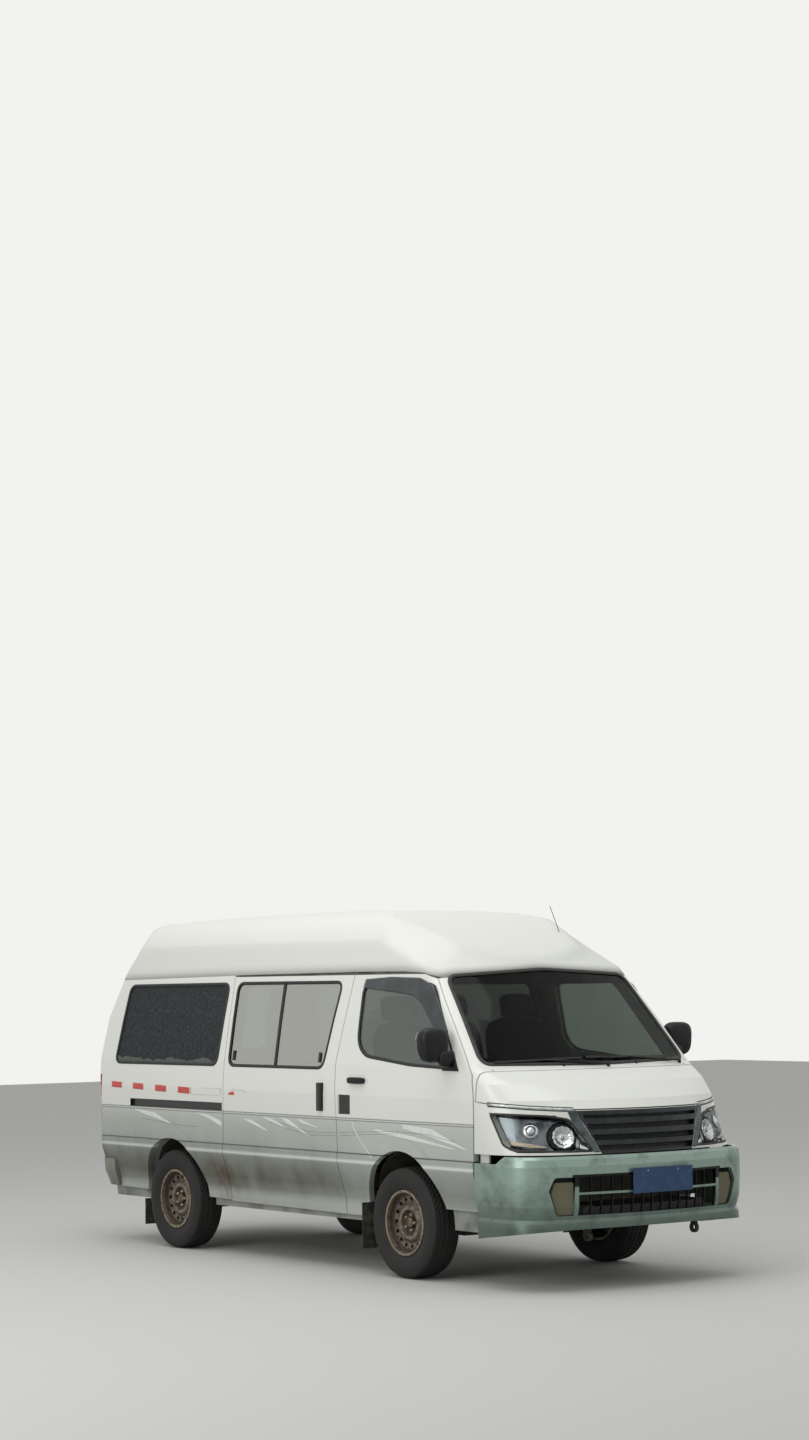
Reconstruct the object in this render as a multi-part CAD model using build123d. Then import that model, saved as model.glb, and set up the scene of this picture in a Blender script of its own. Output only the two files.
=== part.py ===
from build123d import *
import math
import os

os.makedirs("parts", exist_ok=True)

# A high-roof forward-control cargo van. X points forward, Y left, Z up, in millimetres.
# The origin lies on the ground, below the middle of the whole van.

# Driving dimensions
WHEELBASE = 2590.0
FRONT_AXLE_X = 1150.0
REAR_AXLE_X = FRONT_AXLE_X - WHEELBASE
FRONT_TRACK = 1450.0
REAR_TRACK = 1430.0
TYRE_RADIUS = 322.0
TYRE_WIDTH = 195.0
RIM_RADIUS = 190.0
HALF_WIDTH = 845.0
ROOF_HEIGHT = 2184.0
BUMPER_FRONT_X = 2450.0
PLATE_FRONT_X = 2466.0
BUMPER_REAR_X = -PLATE_FRONT_X
DOOR_THICKNESS = 36.0
WALL_THICKNESS = 42.0
FRAME_INSET = 42.3
FRAME_DEPTH = 90.0
TRIM_INSET = 90.3
PANEL_GAP = 6.0
HINGE_GAP = 10.0
GLASS_INSET = 5.0
GLASS_THICKNESS = 5.0
SEAT_GAP = 0.3
BORE_GAP = 0.05

# Heights on the body
BODY_BOTTOM = 282.0
DOOR_BOTTOM = 335.0
DOOR_FRONT_BOTTOM = 422.0
MOULDING_Z = 705.0
NOSE_BOTTOM_Z = 753.0
BONNET_LIP_Z = 1002.0
BONNET_SIDE_Z = 1048.0
GLASS_BASE_Z = 1230.0
WINDOW_LOW_Z = 1206.0
WINDOW_TOP_Z = 1726.0
DOOR_TOP_Z = 1768.0
GUTTER_Z = 1778.0
HEADER_Z = 1797.0

# Places along the body side
DOOR_FRONT_X = 1868.0
NOSE_EDGE_X = DOOR_FRONT_X + HINGE_GAP
SLIDE_REAR_X = -783.0
ARCH_RADIUS = 389.0
FLARE_RADIUS = 461.0
FRONT_ARCH = (FRONT_AXLE_X - 5.0, 350.0)
REAR_ARCH = (REAR_AXLE_X, 330.0)
HOUSING_RADIUS = 396.0
HOUSING_WALL = 10.0

# Floor levels
LOAD_FLOOR_Z = 600.0
CAB_FLOOR_Z = 490.0
SEAT_DECK_Z = 780.0
FLOOR_THICKNESS = 22.0

# Plan slices of the body: height, half width, front x, front bow radius, front corner radius,
# rear x, rear corner radius
PLAN = [
    (BODY_BOTTOM, 768, 2340, 2600, 300, -2390, 52),
    (430, 780, 2360, 2600, 300, -2394, 52),
    (643, HALF_WIDTH, 2380, 2600, 320, -2400, 52),
    (700, HALF_WIDTH, 2425, 2600, 350, -2404, 52),
    (MOULDING_Z + 1, 839, 2425, 2600, 350, -2404, 52),
    (BONNET_LIP_Z, 838, 2400, 1200, 376, -2422, 52),
    (1050, 838, 2348, 1350, 350, -2428, 52),
    (1140, 833, 2190, 1900, 220, -2434, 52),
    (GLASS_BASE_Z, 826, 1976, 2715, 80, -2437, 54),
    (1500, 784, 1727, 2790, 72, -2398, 60),
    (HEADER_Z, 731, 1447, 2871, 110, -2252, 66),
    (1990, 704, 1222, 2880, 500, -2162, 200),
    (2230, 652, 900, 2900, 640, -2040, 350),
]
REAR_BOW = 12000.0


def bowed_outline(half, front_x, front_bow, front_corner, rear_x, rear_corner, rear_bow):
    """Closed plan outline: bowed front, round corners, straight sides and a slightly bowed rear."""
    def corner(end_x, bow, radius, sign):
        centre = end_x - sign * bow
        reach = math.sqrt((bow - half) * (bow + half - 2 * radius))
        cx = centre + sign * reach
        cy = half - radius
        length = bow - radius
        ux, uy = sign * reach / length, cy / length
        side = (cx, half)
        meet = (centre + bow * ux, bow * uy)
        tilt = math.atan2(uy, ux)
        middle = (math.pi / 2 + tilt) / 2
        mid = (cx + radius * math.cos(middle), cy + radius * math.sin(middle))
        return side, mid, meet

    fs, fm, ff = corner(front_x, front_bow, front_corner, 1)
    rs, rm, rf = corner(rear_x, rear_bow, rear_corner, -1)
    return [
        ThreePointArc((ff[0], -ff[1]), (front_x, 0), ff),
        ThreePointArc(ff, fm, fs),
        Line(fs, rs),
        ThreePointArc(rs, rm, rf),
        ThreePointArc(rf, (rear_x, 0), (rf[0], -rf[1])),
        ThreePointArc((rf[0], -rf[1]), (rm[0], -rm[1]), (rs[0], -rs[1])),
        Line((rs[0], -rs[1]), (fs[0], -fs[1])),
        ThreePointArc((fs[0], -fs[1]), (fm[0], -fm[1]), (ff[0], -ff[1])),
    ]


def prism_y(outline, y0, y1):
    """Extrude a closed side-view outline, given as edges in (x, z), from y0 to y1."""
    face = make_face(Wire(outline))
    solid = extrude(face, abs(y1 - y0), dir=(0, 0, 1))
    placed = Plane(origin=(0, max(y0, y1), 0), x_dir=(1, 0, 0), z_dir=(0, -1, 0)) * solid
    return placed


def prism_x(outline, x0, x1):
    """Extrude a closed front-view outline, given as edges in (y, z), from x0 to x1."""
    face = make_face(Wire(outline))
    solid = extrude(face, abs(x1 - x0), dir=(0, 0, 1))
    return Plane(origin=(min(x0, x1), 0, 0), x_dir=(0, 1, 0), z_dir=(1, 0, 0)) * solid


def prism_z(outline, z0, z1):
    """Extrude a closed plan outline, given as edges in (x, y), from z0 to z1."""
    return Pos(0, 0, z0) * extrude(make_face(Wire(outline)), z1 - z0, dir=(0, 0, 1))


def poly(points):
    """Closed outline of straight edges."""
    return [Line(a, b) for a, b in zip(points, points[1:] + points[:1])]


def rounded(points, radius):
    """Closed outline of straight edges with every corner rounded."""
    return FilletPolyline(*points, radius=radius, close=True).edges()


def box(x0, x1, y0, y1, z0, z1):
    """Box between two corners."""
    return Pos((x0 + x1) / 2, (y0 + y1) / 2, (z0 + z1) / 2) * Box(x1 - x0, y1 - y0, z1 - z0)


def rod_y(x, z, radius, y0, y1):
    """Round bar along Y."""
    return Pos(x, (y0 + y1) / 2, z) * Rot(90, 0, 0) * Cylinder(radius, abs(y1 - y0))


def rod_x(y, z, radius, x0, x1):
    """Round bar along X."""
    return Pos((x0 + x1) / 2, y, z) * Rot(0, 90, 0) * Cylinder(radius, abs(x1 - x0))


def rod(a, b, radius):
    """Round bar between two points."""
    a, b = Vector(*a), Vector(*b)
    plane = Plane(origin=a, z_dir=(b - a).normalized())
    return plane * extrude(Circle(radius), (b - a).length)


def mirrored(solid):
    """The same piece on the other side of the van."""
    return mirror(solid, about=Plane.XZ)


def joined(pieces):
    """Fuse a list of solids into one."""
    whole = pieces[0]
    for piece in pieces[1:]:
        whole = whole + piece
    return whole


def save(node, pieces):
    """Write one node as a STEP file: one solid, or several that don't touch."""
    if not isinstance(pieces, (list, tuple)):
        pieces = [pieces]
    solids = [s for p in pieces for s in p.solids()]
    export_step(Compound(children=solids) if len(solids) > 1 else solids[0], f"parts/{node}.step")


# Arcs that round off the top of the plan slices: the shoulder in (y, z), the rear and front in (x, z)
SHOULDER_ARC = [(440, ROOF_HEIGHT - 34), (630, ROOF_HEIGHT - 110), (690, 1990)]
REAR_ARC = [(-1850, ROOF_HEIGHT - 50), (-2060, ROOF_HEIGHT - 100), (-2165, 1975)]
BROW_ARC = [(300, ROOF_HEIGHT - 16), (850, ROOF_HEIGHT - 95), (1270, 1920)]


def inset_arc(points, inset):
    """Three points of an arc, each moved towards the arc's centre by the inset."""
    (ax, az), (bx, bz), (cx, cz) = points
    twice = 2 * (ax * (bz - cz) + bx * (cz - az) + cx * (az - bz))
    squares = [x ** 2 + z ** 2 for x, z in points]
    ux = (squares[0] * (bz - cz) + squares[1] * (cz - az) + squares[2] * (az - bz)) / twice
    uz = (squares[0] * (cx - bx) + squares[1] * (ax - cx) + squares[2] * (bx - ax)) / twice
    scale = 1 - inset / math.hypot(ax - ux, az - uz)
    return [(ux + (x - ux) * scale, uz + (z - uz) * scale) for x, z in points]


def envelope(inset):
    """The whole body as a solid, each face moved inwards by the inset."""
    slices = []
    for z, half, front_x, front_bow, front_corner, rear_x, rear_corner in PLAN:
        outline = bowed_outline(half - inset, front_x - inset, front_bow - inset,
                                max(front_corner - inset, front_corner * 0.1),
                                rear_x + inset, max(rear_corner - inset, 8), REAR_BOW - inset)
        slices.append(Pos(0, 0, z) * make_face(Wire(outline)))
    body = Solid.make_loft([s.wire() for s in slices], ruled=True)
    crown = ROOF_HEIGHT - inset
    inner, middle, outer = inset_arc(SHOULDER_ARC, inset)
    skirt = outer[0] + 160
    across = [
        ThreePointArc((-inner[0], inner[1]), (0, crown), inner),
        ThreePointArc(inner, middle, outer),
        *[Line(a, b) for a, b in zip([outer, (skirt, 1830), (skirt, 100), (-skirt, 100), (-skirt, 1830)],
                                     [(skirt, 1830), (skirt, 100), (-skirt, 100), (-skirt, 1830),
                                      (-outer[0], outer[1])])],
        ThreePointArc((-outer[0], outer[1]), (-middle[0], middle[1]), (-inner[0], inner[1])),
    ]
    back = inset_arc(REAR_ARC, inset)
    brow = inset_arc(BROW_ARC, inset)
    loop = [back[2], (-2600, 1400), (-2600, 100), (2700, 100), (2700, 1100), brow[2]]
    along = [
        ThreePointArc(brow[0], (-400, crown), back[0]),
        ThreePointArc(*back),
        *[Line(a, b) for a, b in zip(loop, loop[1:])],
        ThreePointArc(brow[2], brow[1], brow[0]),
    ]
    return body & prism_x(across, -2700, 2700) & prism_y(along, -1000, 1000)


def seam(offset):
    """Points of the seam between sliding door and front door, bottom to top, moved along X."""
    points = [(515, DOOR_BOTTOM), (515, 650), (500, 900), (485, 1050), (482, 1240), (571, DOOR_TOP_Z)]
    return [(x + offset, z) for x, z in points]


def arch(centre, radius, y0, y1):
    """Cylinder across the van that cuts a wheel arch or housing."""
    return rod_y(centre[0], centre[1], radius, y0, y1)


def skin(outer_inset, inner_inset):
    """Hollow body wall between two insets."""
    return ENVELOPE[outer_inset] - ENVELOPE[inner_inset]


def flare(centre, y0, y1):
    """Raised lip round a wheel arch, above the moulding line."""
    ring = rod_y(centre[0], centre[1], FLARE_RADIUS, y0, y1)
    upper = box(centre[0] - 600, centre[0] + 600, -1000, 1000, MOULDING_Z - 8, 1000)
    return ring & upper


MESH_INSET = 30.0
RAISED = -12.0
INSETS = (RAISED, -SEAT_GAP, 0, MESH_INSET, DOOR_THICKNESS, WALL_THICKNESS, FRAME_INSET, FRAME_DEPTH, TRIM_INSET,
          GLASS_INSET - SEAT_GAP, GLASS_INSET, GLASS_INSET + GLASS_THICKNESS)
ENVELOPE = {inset: envelope(inset) for inset in INSETS}
WALL = skin(0, WALL_THICKNESS)
DOOR_SKIN = skin(0, DOOR_THICKNESS)
FRAME_SKIN = skin(FRAME_INSET, FRAME_DEPTH)
GLASS_SKIN = skin(GLASS_INSET, GLASS_INSET + GLASS_THICKNESS)

# Windows in side view, as (x, z) corners
FRONT_WINDOW = [(682, 1708), (690, 1362), (775, 1286), (1250, 1240), (1702, 1226), (1398, 1708)]
SLIDE_WINDOW = [(-732, WINDOW_TOP_Z), (-732, WINDOW_LOW_Z), (345, WINDOW_LOW_Z), (452, WINDOW_TOP_Z)]
QUARTER_WINDOW = [(-2095, 1718), (-2172, 1203), (-872, 1206), (-835, 1724)]
WINDOW_CORNER = 42.0

# Front door seam against the windscreen pillar, from the roof down
PILLAR_SEAM = [(1290, DOOR_TOP_Z), (1388, 1738), (1494, 1615), (1618, 1477), (1756, 1309), (1845, 1190),
               (DOOR_FRONT_X, 1060)]
FRONT_DOOR = seam(PANEL_GAP / 2) + PILLAR_SEAM + [(DOOR_FRONT_X, DOOR_FRONT_BOTTOM),
                                                  (FRONT_ARCH[0], DOOR_FRONT_BOTTOM),
                                                  (FRONT_ARCH[0], DOOR_BOTTOM)]
SLIDE_DOOR = seam(-PANEL_GAP / 2) + [(SLIDE_REAR_X + PANEL_GAP / 2, DOOR_TOP_Z - 1),
                                     (SLIDE_REAR_X + PANEL_GAP / 2, DOOR_BOTTOM + 8)]
GUTTER_FRONT_Z = 1744.0
GUTTER = [(-2600, 1754), (-736, GUTTER_Z), (600, 1787), (1080, 1785), (1290, 1774), (1410, GUTTER_FRONT_Z)]


def side_cut(corners, y0, y1):
    """Opening with rounded corners through the body side."""
    return prism_y(rounded(corners, WINDOW_CORNER), y0, y1)


# Hinges of the front doors: two pins on the door, which turn in barrels on the side frame
DOOR_HINGE = (1861.0, -829.0)
DOOR_HINGE_SPANS = ((650.0, 690.0), (930.0, 980.0))
DOOR_PIN = 3.0
VENT_SLOTS = [943.0 + 15.0 * row for row in range(7)]


# Front door, whole thickness, with its wheel arch, raised flare, hinge pins and rear vent slots
def front_door():
    """Right front door panel."""
    solid = DOOR_SKIN & prism_y(poly(FRONT_DOOR), -900, -600)
    lip = flare(FRONT_ARCH, -HALF_WIDTH, -HALF_WIDTH + 25)
    solid = solid + lip
    solid = solid - arch(FRONT_ARCH, ARCH_RADIUS, -900, -600)
    solid = solid - side_cut(FRONT_WINDOW, -900, -600)
    for z in VENT_SLOTS:
        solid = solid - box(514, 622, -900, -832, z, z + 7)
    hinge_x, hinge_y = DOOR_HINGE
    for z0, z1 in DOOR_HINGE_SPANS:
        middle = (z0 + z1) / 2
        notch = Pos(hinge_x, hinge_y, middle) * Cylinder(6.7, z1 - z0)
        pin = Pos(hinge_x, hinge_y, middle) * Cylinder(DOOR_PIN, z1 - z0 + 10)
        solid = solid - notch - box(hinge_x - 8, hinge_x + 14, hinge_y, -800, z0, z1) + pin
    return solid


def door_glass():
    """Right front door pane."""
    return GLASS_SKIN & side_cut(FRONT_WINDOW, -900, -600)


# Opening of the side frame behind the sliding door
SLIDE_OPENING = [(-740, 1700), (-740, 610), (440, 610), (430, 1200), (500, 1700)]


# Right sliding door with its handle and the seal against the side frame
def sliding_door():
    """Right sliding door panel with window."""
    solid = DOOR_SKIN & (prism_y(poly(SLIDE_DOOR), -900, -600) - side_cut(SLIDE_WINDOW, -950, -550))
    grip = box(318, 352, -HALF_WIDTH - 16, -830, 950, 1116)
    around = rounded([(-762, 1722), (-762, 588), (462, 588), (452, 1200), (524, 1722)], 40)
    ring = prism_y(around, -900, -600) - prism_y(rounded(SLIDE_OPENING, 40), -900, -600)
    seal = skin(DOOR_THICKNESS, WALL_THICKNESS) & (ring - side_cut(SLIDE_WINDOW, -950, -550))
    return joined([solid, grip] + seal.solids())


TAILGATE_HALF = 655.0
TAILGATE_LOW = 560.0
TAILGATE_TOP = 1990.0
TAILGATE_HINGE = (-2166.0, TAILGATE_TOP)
TAILGATE_PIN = 4.0
TAILGATE_BARRELS = ((-370.0, -330.0), (330.0, 370.0))
REAR_CUT = box(-2600, -2100, -TAILGATE_HALF - HINGE_GAP, TAILGATE_HALF + HINGE_GAP,
               TAILGATE_LOW - HINGE_GAP, TAILGATE_TOP + HINGE_GAP)
REAR_CORNER_X = -2340.0


def lamp_zone(shrink):
    """Box of the right tail lamp at the rear corner."""
    return box(-2600, -2345 - shrink, -900, -693 - shrink, 770 + shrink, 1120 - shrink)


def quarter_panel():
    """Right rear quarter with its arch, window and rear corner."""
    side = prism_y(poly([(-2600, 372), (SLIDE_REAR_X - PANEL_GAP / 2, 350),
                         (SLIDE_REAR_X - PANEL_GAP / 2, GUTTER_Z - 1.5), (-2600, 1753)]), -900, 0)
    solid = WALL & side
    solid = solid - box(REAR_CORNER_X, SLIDE_REAR_X + 100, -700, 100, 200, 2000)
    solid = solid + flare(REAR_ARCH, -HALF_WIDTH, -HALF_WIDTH + 25)
    solid = solid - REAR_CUT
    solid = solid - box(-2600, -2000, -TAILGATE_HALF, 100, 300, 2000)
    solid = solid - arch(REAR_ARCH, ARCH_RADIUS, -900, -600)
    solid = solid - box(-1957, -812, -900, -820, 918, 962) - lamp_zone(0)
    return solid - side_cut(QUARTER_WINDOW, -900, -600)


def left_panel():
    """Left body side from the front door to the rear corner, with two windows."""
    outline = seam(-PANEL_GAP / 2) + [(-736, GUTTER_Z - 1.5), (-2600, 1753), (-2600, 372),
                                      (SLIDE_REAR_X, 350)]
    outline[5] = (571 - PANEL_GAP / 2, GUTTER_Z - 1.5)
    solid = WALL & prism_y(poly(outline), 0, 900)
    solid = solid - box(REAR_CORNER_X, 700, -100, 700, 200, 2000)
    solid = solid + flare(REAR_ARCH, HALF_WIDTH - 25, HALF_WIDTH)
    solid = solid - REAR_CUT
    solid = solid - box(-2600, -2000, -100, TAILGATE_HALF, 300, 2000)
    solid = solid - arch(REAR_ARCH, ARCH_RADIUS, 600, 900)
    solid = solid - side_cut(SLIDE_WINDOW, 600, 900) - mirrored(lamp_zone(0))
    return solid - side_cut(QUARTER_WINDOW, 600, 900)


def tailgate():
    """Tailgate with its rear window."""
    solid = WALL & box(-2600, -2105, -TAILGATE_HALF, TAILGATE_HALF, TAILGATE_LOW, TAILGATE_TOP)
    solid = solid - rear_window()
    x, z = TAILGATE_HINGE
    for y0, y1 in TAILGATE_BARRELS:
        solid = solid - rod_y(x, z, 11, y0 - 4, y1 + 4)
        for inner in (y0 - 14, y1 + 4):
            solid = solid + rod_y(x, z, 8, inner, inner + 10) + box(x - 6, x + 14, inner, inner + 10, z - 18, z)
        solid = solid + rod_y(x, z, TAILGATE_PIN, y0 - 8, y1 + 8)
    return solid


def rear_window():
    """Opening of the rear window."""
    return prism_x(rounded([(-560, 1270), (560, 1270), (520, 1700), (-520, 1700)], 60), -2600, -2000)


def tailgate_glass():
    """Rear window pane."""
    return GLASS_SKIN & rear_window()


def roof():
    """High roof above the gutter, with the barrels of the tailgate hinges."""
    upper = prism_y(poly(GUTTER + [(1700, GUTTER_FRONT_Z), (1700, 2400), (-2600, 2400)]), -1000, 1000)
    solid = WALL & upper
    solid = solid - REAR_CUT - windscreen_cut()
    x, z = TAILGATE_HINGE
    for y0, y1 in TAILGATE_BARRELS:
        barrel = rod_y(x, z, 9, y0, y1) + box(x, x + 38, y0, y1, z + 5, z + 22)
        solid = solid + (barrel - rod_y(x, z, TAILGATE_PIN + BORE_GAP, y0 - 1, y1 + 1))
    return solid


# Windscreen opening in front view
SCREEN = [(-757, 1250), (0, 1238), (757, 1250), (666, 1754), (0, 1790), (-666, 1754)]


def windscreen_cut():
    """Opening of the windscreen."""
    return prism_x(rounded(SCREEN, 45), 1250, 2200)


COWL_X = 2024.0
COWL_BOW = 2515.0


def cowl_region(offset):
    """Plan region behind the bonnet's rear edge."""
    x = COWL_X - offset
    drop = 800 ** 2 / (2 * COWL_BOW)
    return prism_z([ThreePointArc((x - drop, -800), (x, 0), (x - drop, 800)), Line((x - drop, 800), (x - drop, 900)),
                    Line((x - drop, 900), (1000, 900)), Line((1000, 900), (1000, -900)),
                    Line((1000, -900), (x - drop, -900)), Line((x - drop, -900), (x - drop, -800))], 1000, 1800)


BONNET_HINGE = (1905.0, 1206.0)
BONNET_PIN = 3.0


def bonnet():
    """Clamshell bonnet between the cowl and the lamps, with a hinge ear and pin on each side."""
    side = prism_y(poly([(NOSE_EDGE_X, BONNET_SIDE_Z), (2304, BONNET_LIP_Z), (2600, BONNET_LIP_Z - 2),
                         (2600, 1400), (NOSE_EDGE_X, 1400)]), -1000, 1000)
    solid = (DOOR_SKIN & side) - cowl_region(0)
    x, z = BONNET_HINGE
    outline = [(x - 3, z - 6), (x - 3, z + 3), (x + 4, z + 3), (x + 27, z - 5), (x + 27, z - 14), (x + 13, z - 14)]
    ear = prism_y(poly(outline), -722, -716) + rod_y(x, z, BONNET_PIN, -738, -700)
    return joined([solid, ear, mirrored(ear)])


def windscreen_frame():
    """Cowl and windscreen pillars up to the roof, with the bores of the bonnet hinges."""
    side = prism_y(poly([(x + PANEL_GAP, z) for x, z in PILLAR_SEAM[1:-2]]
                        + [(x + HINGE_GAP, z) for x, z in PILLAR_SEAM[-2:]]
                        + [(NOSE_EDGE_X, BONNET_SIDE_Z), (2200, BONNET_SIDE_Z), (2200, GUTTER_FRONT_Z - SEAT_GAP),
                           (1400, GUTTER_FRONT_Z - SEAT_GAP)]), -1000, 1000)
    solid = ((WALL & side) & cowl_region(8)) - windscreen_cut()
    x, z = BONNET_HINGE
    for s in (-1, 1):
        solid = solid - rod_y(x, z, BONNET_PIN + BORE_GAP, s * 698, s * 740)
        solid = solid - box(x - 11, x + 20, *sorted((s * 713, s * 725)), z - 16, 1300)
    return solid


# Grille and lamps in front view and side view
GRILLE = [(-455, 992), (455, 992), (335, NOSE_BOTTOM_Z), (-335, NOSE_BOTTOM_Z)]
LAMP_SIDE = [(1993, 986), (2265, 969), (2500, 940), (2500, 767), (2190, 767), (2120, 803)]
LAMP_FRONT = [(-900, 1100), (-560, 1100), (-560, 962), (-500, 947), (-382, 767), (-900, 700)]


def lamp_region():
    """Region of the right headlamp."""
    side = prism_y(poly(LAMP_SIDE), -1000, 0)
    return side & prism_x(poly(LAMP_FRONT), 1800, 2600)


def nose_panel():
    """Nose corners and the tie bar round grille and lamps, with a bracket down to the bumper on each side."""
    side = prism_y(poly([(NOSE_EDGE_X, NOSE_BOTTOM_Z), (2600, NOSE_BOTTOM_Z), (2600, BONNET_LIP_Z - 8),
                         (2304, BONNET_LIP_Z - 6), (NOSE_EDGE_X + 10, BONNET_SIDE_Z - 6),
                         (NOSE_EDGE_X + 10, BONNET_SIDE_Z - SEAT_GAP), (NOSE_EDGE_X, BONNET_SIDE_Z - SEAT_GAP)]),
                   -1000, 1000)
    solid = WALL & side
    solid = solid - prism_x(poly(GRILLE), 2200, 2600)
    lamp = lamp_region()
    bracket = skin(MESH_INSET, WALL_THICKNESS) & box(NOSE_EDGE_X + 18, 1974, -900, -700, MOULDING_Z - 3, NOSE_BOTTOM_Z)
    return joined([solid - lamp - mirrored(lamp), bracket, mirrored(bracket)])


def grille():
    """Radiator grille: a frame with three stepped bars before a mesh."""
    zone = prism_x(poly([(y * 0.995, z) for y, z in GRILLE]), 2200, 2600)
    inner = prism_x(poly([(-418, 968), (418, 968), (338, 766), (-338, 766)]), 2200, 2600)
    front = skin(0, WALL_THICKNESS) & zone
    solid = front - inner
    core = skin(MESH_INSET, WALL_THICKNESS) & inner
    bars = []
    for z0, z1 in ((918, 948), (858, 888), (800, 826)):
        bar = skin(0, WALL_THICKNESS) & inner & box(2200, 2600, -460, 460, z0, z1)
        bars.append(bar)
    return joined([solid, core] + bars)


def headlamp():
    """Right headlamp as a closed unit."""
    return skin(0, WALL_THICKNESS) & lamp_region()


# Plan slices of the front bumper: height, half width, front x, front bow radius, corner radius
BUMPER_PLAN = [
    (280, 838, 2446, 2600, 205),
    (380, 830, 2440, 2600, 205),
    (400, 819, 2430, 2600, 200),
    (470, 836, 2446, 2600, 205),
    (600, HALF_WIDTH, BUMPER_FRONT_X, 2600, 210),
    (690, HALF_WIDTH, BUMPER_FRONT_X, 2600, 210),
    (730, 842, 2445, 2600, 206),
    (746, 833, 2434, 2600, 200),
]
BUMPER_SKIN = 26.0
BUMPER_REAR_EDGE = NOSE_EDGE_X + 6
BUMPER_SIDE = [(BUMPER_REAR_EDGE, 701), (BUMPER_REAR_EDGE, 450), (BUMPER_REAR_EDGE + 18, 283), (2230, 322), (2400, 344),
               (2700, 356), (2700, 800), (2160, 800), (2142, 744), (2076, 702)]
FIN_PLACES = [-420.0 + 70.0 * k for k in range(13)]


def bumper_body(inset):
    """Bumper outline as a solid, moved inwards."""
    slices = []
    for z, half, front_x, bow, corner in BUMPER_PLAN:
        outline = bowed_outline(half - inset, front_x - inset, bow - inset, corner - inset, -2390, 90, 7000)
        slices.append(Pos(0, 0, z) * make_face(Wire(outline)))
    return Solid.make_loft([s.wire() for s in slices], ruled=True)


def front_bumper():
    """Moulded front bumper with its lip, recess, upright bars, cross bar and the fins behind them."""
    solid = bumper_body(0) - bumper_body(BUMPER_SKIN)
    solid = solid & prism_y(poly(BUMPER_SIDE), -1000, 1000)
    recess = prism_x(rounded([(-640, 420), (640, 420), (690, 560), (655, 632), (-655, 632), (-690, 560)], 28),
                     2200, 2600)
    opening = solid & recess
    solid = solid - recess
    bars = [opening & box(2200, 2600, -533, -508, 400, 640), opening & box(2200, 2600, 508, 533, 400, 640),
            opening & box(2200, 2600, -533, 533, 534, 547)]
    behind = bumper_body(BUMPER_SKIN - 8) - bumper_body(BUMPER_SKIN + 4)
    fins = [behind & box(2200, 2600, y - 3, y + 3, 412, 640) for y in FIN_PLACES]
    stays = [box(2360.3, 2410, s * 400 - 20, s * 400 + 20, 365, 415) & bumper_body(5) for s in (-1, 1)]
    return joined([solid] + bars + fins + stays)


def fog_lamp():
    """Right fog lamp in the bumper recess."""
    unit = bumper_body(14) - bumper_body(BUMPER_SKIN)
    zone = prism_x(rounded([(-627, 424), (-533.3, 424), (-533.3, 604), (-645, 604), (-666, 540)], 12), 2200, 2600)
    return unit & zone


# Half of the tyre's section: offset from its middle and radius of the flats
TYRE_SECTION = [(TYRE_WIDTH / 2 - 12, 204), (TYRE_WIDTH / 2, 240), (TYRE_WIDTH / 2 - 3, 280),
                (TYRE_WIDTH / 2 - 10, 306), (TYRE_WIDTH / 2 - 28, TYRE_RADIUS)]
TYRE_SIDES = 48


def tyre_ring(offset, radius):
    """Outline of the tyre at an offset along its axle, with a flat at the bottom."""
    face = RegularPolygon(radius, TYRE_SIDES, major_radius=False, rotation=180 / TYRE_SIDES)
    return (Plane(origin=(0, offset, 0), x_dir=(1, 0, 0), z_dir=(0, -1, 0)) * face).wire()


def tyre():
    """Tyre about the Y axis."""
    sections = [(-offset, radius) for offset, radius in TYRE_SECTION] + TYRE_SECTION[::-1]
    solid = Solid.make_loft([tyre_ring(*section) for section in sections], ruled=True)
    bore = Solid.make_loft([tyre_ring(y, RIM_RADIUS + SEAT_GAP) for y in (-TYRE_WIDTH, TYRE_WIDTH)], ruled=True)
    return solid - bore


def turned(outline):
    """Revolve a (radius, offset) outline about the wheel axle, which lies along Y."""
    face = make_face(Wire(outline))
    body = revolve(Plane.XZ * face, axis=Axis.Z)
    return Rot(-90, 0, 0) * body


HUB_RADIUS = 30.0


def rim_outline():
    """Half section of the pressed steel rim with its disc."""
    points = [(RIM_RADIUS, -84), (RIM_RADIUS, 84), (RIM_RADIUS - 14, 84), (RIM_RADIUS - 20, 60), (RIM_RADIUS - 20, 48),
              (RIM_RADIUS - 34, 44), (120, 34), (96, 50), (76, 50), (60, 28), (HUB_RADIUS + BORE_GAP, 28),
              (HUB_RADIUS + BORE_GAP, 14), (66, 14), (82, 36), (96, 36), (114, 20), (RIM_RADIUS - 30, 30),
              (RIM_RADIUS - 20, -60), (RIM_RADIUS - 14, -84)]
    return poly(points)


WHEELS = {
    "front_right": (FRONT_AXLE_X, -FRONT_TRACK / 2),
    "front_left": (FRONT_AXLE_X, FRONT_TRACK / 2),
    "rear_right": (REAR_AXLE_X, -REAR_TRACK / 2),
    "rear_left": (REAR_AXLE_X, REAR_TRACK / 2),
}


def wheel_piece(solid, x, y):
    """Place a left-facing wheel piece at its axle, turned to face outwards."""
    if y < 0:
        solid = Rot(0, 0, 180) * solid
    return Pos(x, y, TYRE_RADIUS) * solid


RIM_HOLES = [rod_y(138 * math.cos(math.tau * k / 15), 138 * math.sin(math.tau * k / 15), 9, 0, 60) for k in range(15)]
TYRE = tyre()
RIM = turned(rim_outline())
for hole in RIM_HOLES:
    RIM = RIM - hole
for name, (x, y) in WHEELS.items():
    save(f"tyre_{name}", wheel_piece(TYRE, x, y))
    save(f"rim_{name}", wheel_piece(RIM, x, y))

# Steering knuckle: upright, stub axle and brake disc, inside the rim
KINGPIN_Y = 640.0
KINGPIN_RADIUS = 9.0
ARM_Z = 70.0


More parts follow.
